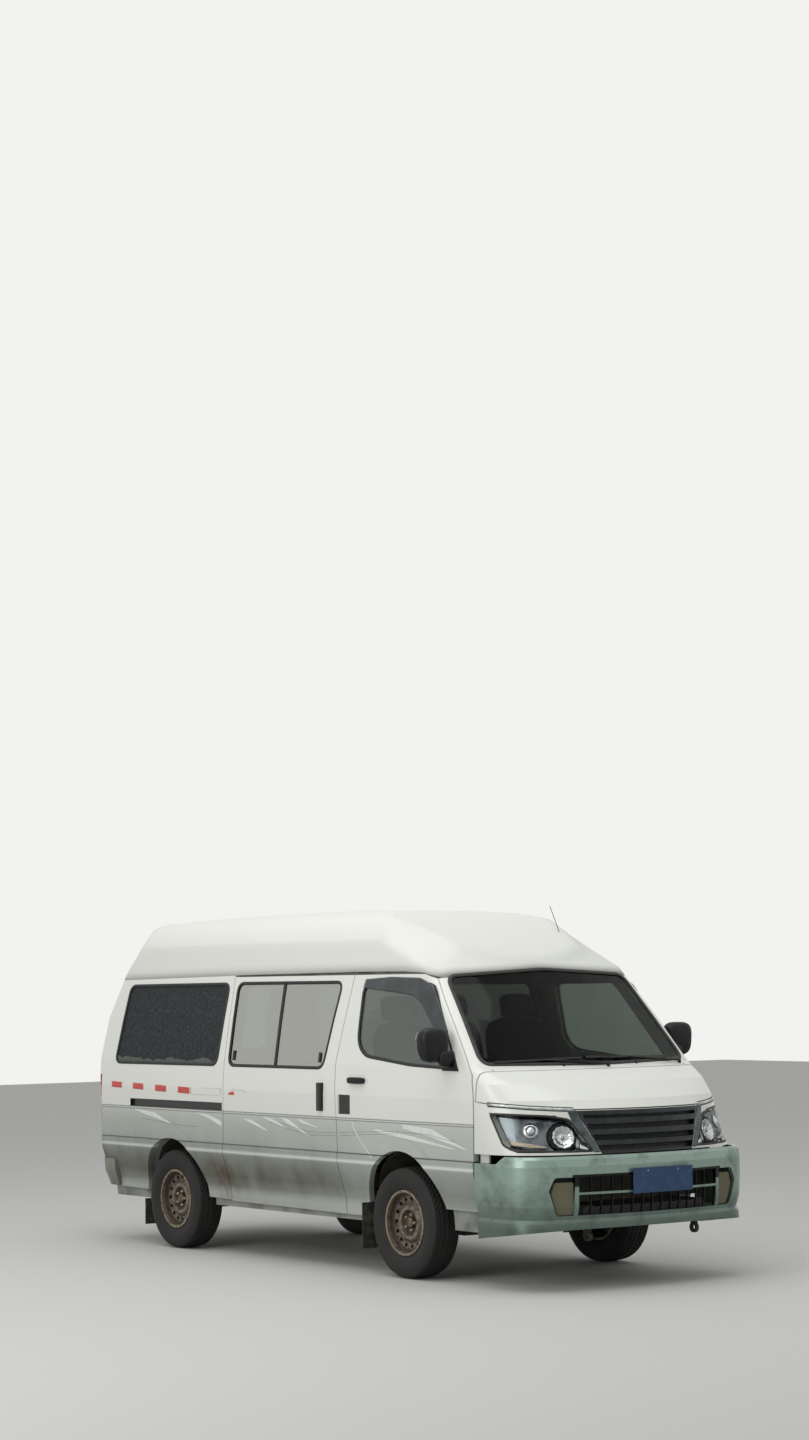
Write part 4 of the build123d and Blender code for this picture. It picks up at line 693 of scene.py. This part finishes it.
# Profiles of the round parts in metres, each as (radius, height) from the middle outwards and back.
REFLECTOR = [(0.0005, 0.006), (0.010, 0.006), (0.013, 0.002), (0.026, 0.004), (0.042, 0.012), (0.060, 0.024),
             (0.063, 0.024), (0.063, 0.0), (0.0005, 0.0)]
BEZEL = [(0.064, 0.0), (0.064, 0.018), (0.070, 0.020), (0.084, 0.009), (0.092, 0.0), (0.064, 0.0)]
BULB_CAP = [(0.0005, 0.016), (0.008, 0.014), (0.012, 0.008), (0.012, 0.005), (0.0005, 0.005)]
PROJECTOR = [(0.0005, 0.024), (0.016, 0.022), (0.027, 0.015), (0.031, 0.007), (0.043, 0.012), (0.043, 0.0),
             (0.0005, 0.0)]

# Lines of (y, z) on the left half of the nose; the right half mirrors them.
HOUSING_TOP = [(0.812, 0.968), (0.745, 0.965), (0.610, 0.956), (0.508, 0.936), (0.450, 0.862), (0.396, 0.778)]
HOUSING_BOTTOM = [(0.810, 0.955), (0.800, 0.822), (0.745, 0.790), (0.620, 0.783), (0.520, 0.779), (0.398, 0.776)]
LENS_OUTLINE = [(0.822, 0.980), (0.605, 0.966), (0.498, 0.945), (0.384, 0.770), (0.533, 0.770), (0.789, 0.779),
                (0.812, 0.808)]
for side, hand in ((-1, "right"), (1, "left")):
    mirrored = np.array([side, 1.0])
    nose_sheet(f"lamp_housing_{hand}", mirrored * HOUSING_TOP, mirrored * HOUSING_BOTTOM, 0.036, 0.003,
               housing_satin, "black_plastic", 16, 60)
    main, projector = lamp_axis(side * 0.541, 0.851), lamp_axis(side * 0.700, 0.893)
    turned(f"lamp_reflector_{hand}", REFLECTOR, 96, *main, mirror_chrome, "root", "lamp_lens", 0.03)
    turned(f"lamp_bezel_{hand}", BEZEL, 96, *main, grained_abs, "root", "black_plastic")
    turned(f"lamp_bulb_cap_{hand}", BULB_CAP, 32, *main, silver_trim, "root", "lamp_lens")
    turned(f"lamp_projector_{hand}", PROJECTOR, 64, *projector, mirror_chrome, "root", "lamp_lens")
    nose_sheet(f"lamp_amber_{hand}", mirrored * [(0.795, 0.838), (0.720, 0.822), (0.640, 0.806)],
               mirrored * [(0.792, 0.812), (0.720, 0.800), (0.640, 0.798)],
               0.022, 0.008, amber_lens, "lamp_lens", 6, 40)
    nose_sheet(f"lamp_corner_{hand}", mirrored * [(0.452, 0.812), (0.425, 0.800), (0.402, 0.782)],
               mirrored * [(0.456, 0.784), (0.425, 0.780), (0.402, 0.779)],
               0.016, 0.012, mirror_chrome, "lamp_lens", 6, 20)
    nose_sheet(f"lamp_divider_{hand}", mirrored * [(0.470, 0.862), (0.455, 0.830)],
               mirrored * [(0.478, 0.790), (0.462, 0.788)], 0.018, 0.012, silver_trim, "lamp_lens", 6, 12)

    # A silver strip runs over the lamp between two thin black lines: the one over it marks the dark
    # gap to the bonnet, the one under it is the strip's painted shadow.
    strip = by_point(mirrored * [(0.822, 1.030), (0.700, 1.014), (0.560, 1.004), (0.463, 0.999)],
                     np.linspace(0, 1, 60))
    nose_beading(f"lamp_strip_{hand}", strip, 0.016, 0.008, 0.001, silver_trim, "lamp_lens", False)
    for label, rise in (("over", 0.0105), ("under", -0.0105)):
        nose_beading(f"strip_line_{label}_{hand}", strip + [0.0, rise], 0.006, 0.003, 0.0, window_rubber,
                     "black_plastic", False)
    above, middle, below = (mirrored * line for line in ([(0.500, 0.9985), (0.452, 0.9940)],
                                                         [(0.478, 0.9100), (0.418, 0.9100)],
                                                         [(0.382, 0.7620), (0.342, 0.7620)]))
    for label, top, bottom in (("upper", above, middle), ("lower", middle, below)):
        nose_sheet(f"grille_surround_{label}_{hand}", top, bottom, -0.0015, 0.0018, surround_paint,
                   "grille_plastic", 24, 14)
    nose_beading(f"lamp_seal_{hand}", rounded(1000 * mirrored * LENS_OUTLINE, 14), 0.012, 0.004, 0.0,
                 window_rubber, "black_plastic")

# Number plate: a pressed aluminium blank, 440 by 140 mm, painted blue and left without a number, with
# a rolled rim and two zinc-plated screws that have dulled to grey.
plate_paint = finish("blue_plate_enamel", "15365C", "1E4269", 60, 3, (0.35, 0.55), 0.03)
coat_nodes(plate_paint, "number_plate")
PLATE_FRONT = 2.4662
plate_line = rounded([(-165, 531), (267, 531), (267, 663), (-165, 663)], 8)
rim_path = np.concatenate([np.full((400, 1), PLATE_FRONT), plate_line], axis=-1)
add_piece("plate_rim", *beading(rim_path, np.tile([1.0, 0.0, 0.0], (400, 1)), 0.003, 0.002), plate_paint, "root",
          "plate_blue")
zinc = finish("zinc_plated_steel", "9A9C98", "7B776C", 6, 1, (0.3, 0.5), 0.02, 0.9)
SCREW_HEAD = [(0.0002, 0.0040), (0.0030, 0.0036), (0.0050, 0.0022), (0.0058, 0.0), (0.0058, -0.002), (0.0002, -0.002)]
for number, y in enumerate((-0.060, 0.162)):
    turned(f"plate_screw_{number + 1}", SCREW_HEAD, 24, (2.4660, y, 0.650), (1, 0, 0), zinc, "root", "plate_blue")

# Tail lamps: one acrylic moulding a side, clipped into the corner posts, ribbed on the inside. It is
# red with a clear reversing band and an amber band, which show as bands of colour under one gloss.
tail_acrylic, tree, shader, place = new_finish("banded_tail_acrylic")
lamp_low, lamp_high = (corner[2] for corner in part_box("tail_lamps"))
TAIL_BANDS = [(0.0, "8E1713"), (0.38, "8E1713"), (0.385, "B9BBB6"), (0.58, "B9BBB6"), (0.585, "B8701F"),
              (0.78, "B8701F"), (0.785, "8E1713"), (1.0, "8E1713")]
height = add_node(tree, "ShaderNodeSeparateXYZ", {}, {0: place}, "Z")
colour = graded(tree, height, lamp_low, lamp_high,
                [(lamp_low + share * (lamp_high - lamp_low), code) for share, code in TAIL_BANDS])
ribs = add_node(tree, "ShaderNodeTexWave", {"wave_type": "BANDS", "bands_direction": "Z", "Scale": 40.0},
                {"Vector": place}, "Fac")
bump = add_node(tree, "ShaderNodeBump", {"Distance": 0.0006, "Strength": 0.7}, {"Height": ribs})
feed(tree, shader, {"Base Color": colour, "Normal": bump, "Roughness": 0.12})
coat_nodes(tail_acrylic, "tail_lamps")

# Aerial: a whip of spring steel 4 mm thick, blackened, fixed to the roof over the left windscreen
# pillar. It glints a little along one side.
spring_steel = finish("black_spring_steel", "17181A", "2C2B28", 30, 2, (0.35, 0.5), 0.02, 0.6)
whip = np.linspace([1.060, 0.470, 2.005], [1.000, 0.440, 2.180], 20)
add_piece("aerial_whip", *beading(whip, np.tile([1.0, 0.0, 0.24], (20, 1)), 0.004, 0.004, False), spring_steel,
          "root", "black_plastic")

# Dashboard: a foam-backed PVC skin in beige grey, vacuum formed with a leather-like grain, faded and
# dusty on top.
dash_skin = finish("moulded_pvc_skin", "8F8D7C", "7C7A69", 140, 2.5, (0.55, 0.7), 0.15)
coat_nodes(dash_skin, "dashboard")

# Steering wheel: black urethane moulded over a steel core, with a fine grain that hands have rubbed
# to a low sheen.
urethane = finish("black_urethane_rim", "151617", "232323", 60, 1.5, (0.4, 0.55), 0.06)
coat_nodes(urethane, "steering_wheel")

# Tyres: moulded rubber with four straight grooves, slanted sipes at the shoulders, and a plain
# sidewall with fine rings. It is black where it rubs and dusty brown in the hollows.
tread_rubber = finish("dusty_tread_rubber", "101010", "24221E", 70, 2, (0.75, 0.95), 0.10)
coat_nodes(tread_rubber, "spare_wheel")
WHEEL_RADIUS = 0.322
BEAD_RADIUS = 0.1895
STEPS_ROUND = 360

# Half of the tyre's section from the bead to the middle of the tread, each point with its place
# across as a share of the width, and its radius.
TYRE_SECTION = np.array([
    (0.372, 0.1908), (0.400, 0.1925), (0.418, 0.1990), (0.452, 0.2150), (0.482, 0.2330), (0.497, 0.2520),
    (0.500, 0.2620), (0.494, 0.2770), (0.476, 0.2930), (0.452, 0.3060), (0.425, 0.3135), (0.380, 0.3168),
    (0.300, 0.3192), (0.200, 0.3209), (0.100, 0.3218), (0.0, 0.3220),
])
GROOVES = np.array([-0.25, -0.085, 0.085, 0.25])
GROOVE_DEPTH, SIPE_DEPTH, RING_DEPTH = 0.0065, 0.0055, 0.0006


def tyre_surface(middle, width):
    """Radius as a function of the place s along the section and the angle a. The section runs bead,
    sidewall, shoulder, crown and back; grooves are cut into the crown at four places, and sipes where
    a slanted saw of a and s is low, outside the middle fifth. The last two rings close it inside the beads."""
    section = np.concatenate([TYRE_SECTION * [-1, 1], TYRE_SECTION[-2::-1]])
    y, radius = read_evenly(section * [width, 1], np.linspace(0, 1, 121)).T
    a = np.arange(STEPS_ROUND) / STEPS_ROUND * 2 * np.pi
    crown = np.abs(y) < 0.40 * width
    groove = np.clip(1.4 - np.abs(y[:, None] / width - GROOVES) / 0.018, 0, 1).max(axis=1) * crown
    saw = (a[None] * 60 / (2 * np.pi) + np.abs(y)[:, None] / 0.030) % 1.0
    sipe = (saw < 0.22) * (crown & (np.abs(y) > 0.10 * width))[:, None]
    rings = np.sin(np.clip((radius - 0.235) / 0.045, 0, 1) * 6 * np.pi) * (np.abs(y) > 0.44 * width)
    cut = np.maximum(groove[:, None] * GROOVE_DEPTH, sipe * SIPE_DEPTH)
    skin = (radius + rings * RING_DEPTH)[:, None] - cut
    skin = np.concatenate([skin, np.full((2, STEPS_ROUND), BEAD_RADIUS)])
    y = np.append(y, y[[-1, 0]])
    points = np.stack([skin * np.cos(a), np.repeat(y[:, None], STEPS_ROUND, 1), skin * np.sin(a)], axis=-1)
    return points + middle, grid_faces(len(y), STEPS_ROUND, True, True)


# Rims: pressed steel discs with fifteen round holes, painted once, now rust and brake dust, with
# painted highlight and shade in rings round the hub and painted shade round each hole. Each is
# held by five zinc-plated nuts about a hub under a steel cap.
FRONT_AXLE, REAR_AXLE = 1.15, -1.44


def pressed_disc(name):
    """Rim finish by the distance r in millimetres from its own axle: rings of worn paint, dirt and
    bare rust, lighter and darker in part as painted highlight and shade, and a dark ring of painted
    shade round each hole, where ((r - 138) / 12.5)^2 + (1 - cos 15 a) / 0.85 is below 1 for the angle a
    about the axle. The cosine's sign is turned on the right side, whose holes lie half a step further round."""
    material = finish(name, "C4BFB5", "857C70", 26, 3, (0.5, 0.8), 0.15, 0.2)
    tree = material.node_tree
    shader = tree.nodes["Principled BSDF"]
    worn = shader.inputs["Base Color"].links[0].from_socket
    place = add_node(tree, "ShaderNodeTexCoord", take="Object")
    x, y, z = add_node(tree, "ShaderNodeSeparateXYZ", {}, {0: place}, None).outputs
    front = add_node(tree, "ShaderNodeMath", {"operation": "GREATER_THAN", 1: 0.0}, {0: x})
    axle = add_node(tree, "ShaderNodeMath", {"operation": "MULTIPLY_ADD", 1: FRONT_AXLE - REAR_AXLE, 2: REAR_AXLE},
                    {0: front})
    ahead = add_node(tree, "ShaderNodeMath", {"operation": "SUBTRACT"}, {0: x, 1: axle})
    height = add_node(tree, "ShaderNodeMath", {"operation": "SUBTRACT", 1: WHEEL_RADIUS}, {0: z})
    flat = add_node(tree, "ShaderNodeCombineXYZ", {}, {0: ahead, 2: height})
    radius = add_node(tree, "ShaderNodeVectorMath", {"operation": "LENGTH"}, {0: flat}, "Value")
    # The rings are partly worn paint, dirt and rust and partly painted light: the pale rings are painted highlights,
    # the dark ones painted shade.
    rings = graded(tree, radius, 0.0, 0.195, [
        (0.0, "55483B"), (0.030, "63533F"), (0.036, "2E2822"), (0.058, "625A50"), (0.070, "4C463E"),
        (0.080, "968C7E"), (0.094, "A2988A"), (0.104, "70675B"), (0.120, "857B6E"), (0.150, "82786B"),
        (0.156, "4A4239"), (0.166, "453D35"), (0.174, "827869"), (0.184, "B9AF9F"), (0.190, "978C7D"),
        (0.195, "524A41")])
    angle = add_node(tree, "ShaderNodeMath", {"operation": "ARCTAN2"}, {0: height, 1: ahead})
    turns = add_node(tree, "ShaderNodeMath", {"operation": "MULTIPLY", 1: 15.0}, {0: angle})
    wave = add_node(tree, "ShaderNodeMath", {"operation": "COSINE"}, {0: turns})
    hand = add_node(tree, "ShaderNodeMath", {"operation": "SIGN"}, {0: y})
    wave = add_node(tree, "ShaderNodeMath", {"operation": "MULTIPLY"}, {0: wave, 1: hand})
    spread = add_node(tree, "ShaderNodeMath", {"operation": "MULTIPLY_ADD", 1: -1 / 0.85, 2: 1 / 0.85}, {0: wave})
    off = add_node(tree, "ShaderNodeMath", {"operation": "MULTIPLY_ADD", 1: 80.0, 2: -11.04}, {0: radius})
    off = add_node(tree, "ShaderNodeMath", {"operation": "MULTIPLY"}, {0: off, 1: off})
    total = add_node(tree, "ShaderNodeMath", {"operation": "ADD"}, {0: off, 1: spread})
    # Painted shade: stain is a dark ring round each hole.
    stain = add_node(tree, "ShaderNodeMapRange", {1: 0.8, 2: 1.3, 3: 1.0, 4: 0.0}, {0: total})
    toned = add_node(tree, "ShaderNodeMix", {"data_type": "RGBA", "blend_type": "MULTIPLY", 0: 1.0},
                     {6: rings, 7: worn}, 2)
    colour = add_node(tree, "ShaderNodeMix", {"data_type": "RGBA", 7: linear("120F0C")}, {0: stain, 6: toned}, 2)
    feed(tree, shader, {"Base Color": colour})
    return material


# Greasy brown steel for the hub caps, and zinc worn to a pale brown for the nuts.
rusty_disc = pressed_disc("rusty_painted_steel")
hub_grease = finish("greasy_hub_steel", "6B5A48", "40352A", 25, 2, (0.45, 0.7), 0.15, 0.4)
nut_steel = finish("worn_zinc_nut", "A39884", "6E5F4C", 12, 1.5, (0.35, 0.55), 0.05, 0.7)
HUB_CAP = [(0.0002, 0.012), (0.022, 0.011), (0.030, 0.006), (0.032, -0.010), (0.0002, -0.010)]
NUT = [(0.0002, 0.026), (0.0070, 0.024), (0.0105, 0.018), (0.0110, -0.002), (0.0002, -0.002)]
NUTS, NUT_CIRCLE = 5, 0.0460
for wheel in ("front_right", "front_left", "rear_right", "rear_left"):
    body = f"wheel_{wheel}"
    low, high = (np.array(corner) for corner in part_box(f"tyre_{wheel}"))
    middle = (low + high) / 2
    middle[2] = WHEEL_RADIUS
    tyre = add_piece(f"tread_{wheel}", *tyre_surface(middle, high[1] - low[1]), tread_rubber, body, "tyre_rubber")
    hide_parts(f"tyre_{wheel}")
    coat_nodes(rusty_disc, f"rim_{wheel}")
    outwards = -1 if "right" in wheel else 1
    turned(f"hub_cap_{wheel}", HUB_CAP, 48, middle + [0, outwards * 0.040, 0], (0, outwards, 0), hub_grease, body,
           "rim_steel")
    for number in range(NUTS):
        a = number / NUTS * 2 * math.pi
        place = middle + [NUT_CIRCLE * math.cos(a), outwards * 0.026, NUT_CIRCLE * math.sin(a)]
        turned(f"nut_{wheel}_{number + 1}", NUT, 6, place, (0, outwards, 0), nut_steel, body, "rim_steel",
               smooth=False)

# Mud flaps: 5 mm sheets of black rubber, bolted up behind the wheels. They are matt and grey-brown
# with dried spray.
flap_sheet = finish("sprayed_rubber_sheet", "26241F", "4B463A", 60, 2, (0.8, 0.95), 0.1)
coat_nodes(flap_sheet, "mud_flaps")


# Seats: polyurethane foam under a dark woven polyester, glued over a steel frame. Cushion, back and
# headrests are separate pads, puffed by the foam, with round edges and no seam that shows.
def woven(name, colour, fleck):
    """Plain weave: two crossed waves of 6 mm, drawn coarser than the real 1 mm thread so that it shows,
    give colour and bump, with worn paler patches of 120 mm."""
    material, tree, shader, place = new_finish(name)
    warp, weft = (add_node(tree, "ShaderNodeTexWave", {"bands_direction": axis, "Scale": 52.0, "Distortion": 0.3},
                           {"Vector": place}, "Fac") for axis in "YZ")
    weave = add_node(tree, "ShaderNodeMath", {"operation": "MULTIPLY"}, {0: warp, 1: weft})
    wear = add_node(tree, "ShaderNodeTexNoise", {"Scale": 8.0, "Detail": 4.0}, {"Vector": place}, "Fac")
    tone = add_node(tree, "ShaderNodeMix", {"data_type": "RGBA", 6: linear(colour), 7: linear(fleck)},
                    {0: wear}, 2)
    deeper = add_node(tree, "ShaderNodeMix", {"data_type": "RGBA", "blend_type": "MULTIPLY", 0: 0.5},
                      {6: tone, 7: weave}, 2)
    bump = add_node(tree, "ShaderNodeBump", {"Distance": 0.0008, "Strength": 0.8}, {"Height": weave})
    feed(tree, shader, {"Base Color": deeper, "Normal": bump, "Roughness": 0.9, "Sheen Weight": 0.3})
    return material


seat_cloth = woven("woven_polyester", "3A3C42", "5B5C60")
coat_nodes(seat_cloth, "front_seats")
PUFF = 0.012
CLOTH_FRAMES = 20


def foam_pad(name, middle, size, lean=0.0):
    """Pad as a superellipsoid with the power 2 / 0.4 = 5, leaned back about the Y axis through its
    middle, remeshed evenly, then puffed by a cloth simulation whose movement is capped at PUFF."""
    points, faces = egg((0, 0, 0), np.array(size) / 2, 0.4, 0.0, 60, 120)
    turn = np.array([[math.cos(lean), 0, -math.sin(lean)], [0, 1, 0], [math.sin(lean), 0, math.cos(lean)]])
    piece = add_piece(name, points @ turn.T + np.array(middle), faces, seat_cloth, "root", "seat_fabric")
    remesh = piece.modifiers.new("even", "REMESH")
    remesh.mode = "VOXEL"
    remesh.voxel_size = 0.012
    remesh.use_smooth_shade = True
    bpy.ops.object.select_all(action="DESELECT")
    piece.select_set(True)
    bpy.context.view_layer.objects.active = piece
    bpy.ops.object.modifier_apply(modifier="even")
    count = len(piece.data.vertices)
    before, after = np.empty(count * 3), np.empty(count * 3)
    piece.data.vertices.foreach_get("co", before)
    cloth = piece.modifiers.new("cloth", "CLOTH")
    cloth.settings.use_pressure = True
    cloth.settings.uniform_pressure_force = 4.0
    cloth.settings.effector_weights.gravity = 0.0
    for frame_number in range(1, CLOTH_FRAMES + 1):
        bpy.context.scene.frame_set(frame_number)
    puffed = piece.evaluated_get(bpy.context.evaluated_depsgraph_get()).to_mesh()
    puffed.vertices.foreach_get("co", after)
    moved = (after - before).reshape(-1, 3)
    length = np.linalg.norm(moved, axis=1)[:, None]
    moved *= np.minimum(1.0, PUFF / np.maximum(length, 1e-9))
    piece.modifiers.remove(cloth)
    piece.data.vertices.foreach_set("co", before + moved.ravel())
    piece.data.update()
    bpy.context.scene.frame_set(1)
    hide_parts("front_seats")


# The driver's seat is on the left; the bench beside it has two headrests. Each seat runs from y0 to y1.
for label, y0, y1, heads in (("driver", 0.180, 0.680, (0.430,)), ("bench", -0.680, 0.130, (-0.480, -0.080))):
    middle_y, wide = (y0 + y1) / 2, y1 - y0 - 0.006
    foam_pad(f"seat_cushion_{label}", (0.975, middle_y, 0.858), (0.505, wide, 0.145))
    foam_pad(f"seat_back_{label}", (0.706, middle_y, 1.205), (0.135, wide, 0.600), 0.190)
    for number, y in enumerate(heads):
        foam_pad(f"seat_headrest_{label}_{number + 1}", (0.655, y, 1.562), (0.085, 0.225, 0.150), 0.150)

# Floor, light and camera, which aren't part of the van: a pale plain floor, one wide soft lamp
# above and a weaker one at the near side, and the camera where the photograph was taken from.
FLOOR_HALF = 30.0
floor_mesh = bpy.data.meshes.new("floor")
floor_mesh.from_pydata([(x * FLOOR_HALF, y * FLOOR_HALF, 0) for x, y in ((-1, -1), (1, -1), (1, 1), (-1, 1))], [],
                       [(0, 1, 2, 3)])
floor = bpy.data.objects.new("floor", floor_mesh)
bpy.context.scene.collection.objects.link(floor)
floor_finish = bpy.data.materials.new("pale_floor")
floor_finish.use_nodes = True
feed(floor_finish.node_tree, floor_finish.node_tree.nodes["Principled BSDF"],
     {"Base Color": linear("BDBDB8"), "Roughness": 0.8})
floor_mesh.materials.append(floor_finish)

# The world lights the van a little, and shows a plain pale backdrop to what looks at it directly, in a
# gloss or through glass.
world = bpy.data.worlds.new("studio")
bpy.context.scene.world = world
world.use_nodes = True
sky = world.node_tree
sky.nodes.clear()
rays = add_node(sky, "ShaderNodeLightPath", take=None).outputs
direct = add_node(sky, "ShaderNodeMath", {"operation": "MAXIMUM"}, {0: rays["Is Camera Ray"], 1: rays["Is Glossy Ray"]})
seen = add_node(sky, "ShaderNodeMath", {"operation": "MAXIMUM"}, {0: direct, 1: rays["Is Transmission Ray"]})
light = add_node(sky, "ShaderNodeBackground", {"Color": linear("F4F6F8"), "Strength": 0.62})
backdrop = add_node(sky, "ShaderNodeBackground", {"Color": linear("F2F2F0"), "Strength": 1.0})
mixed = add_node(sky, "ShaderNodeMixShader", {}, {0: seen, 1: light, 2: backdrop})
add_node(sky, "ShaderNodeOutputWorld", {}, {0: mixed}, None)


def soft_lamp(name, place, aim, size, power):
    """Square area lamp at a place, turned to a point."""
    data = bpy.data.lights.new(name, "AREA")
    data.size = size
    data.energy = power
    lamp = bpy.data.objects.new(name, data)
    bpy.context.scene.collection.objects.link(lamp)
    lamp.location = place
    lamp.rotation_euler = (Vector(aim) - Vector(place)).to_track_quat("-Z", "Y").to_euler()


soft_lamp("overhead", (1.0, -2.0, 9.0), (0, 0, 1), 9.0, 430)
soft_lamp("near_side", (3.0, -10.0, 4.0), (0, 0, 1), 5.0, 300)

# The camera's place is in metres, its angles in degrees and its focal length in the photo's pixels.
CAMERA_PLACE = (14.584, -10.463, 1.7212)
CAMERA_YAW = 54.166
CAMERA_PITCH = 5.349
CAMERA_ROLL = -0.7068
FOCAL_PIXELS = 2799.6
PHOTO_HEIGHT = 1440
SENSOR = 36.0
camera_data = bpy.data.cameras.new("camera")
camera_data.sensor_width = SENSOR
camera_data.lens = FOCAL_PIXELS * SENSOR / PHOTO_HEIGHT
camera = bpy.data.objects.new("camera", camera_data)
bpy.context.scene.collection.objects.link(camera)
yaw, pitch, roll = (math.radians(degrees) for degrees in (CAMERA_YAW, CAMERA_PITCH, CAMERA_ROLL))
forward = Vector((-math.sin(yaw) * math.cos(pitch), math.cos(yaw) * math.cos(pitch), math.sin(pitch)))
level = Vector((math.cos(yaw), math.sin(yaw), 0))
raised = level.cross(forward)
right = level * math.cos(roll) + raised * math.sin(roll)
up = raised * math.cos(roll) - level * math.sin(roll)
camera.matrix_world = Matrix.Translation(CAMERA_PLACE) @ Matrix((right, up, -forward)).transposed().to_4x4()
bpy.context.scene.camera = camera
bpy.context.scene.view_settings.view_transform = "Standard"
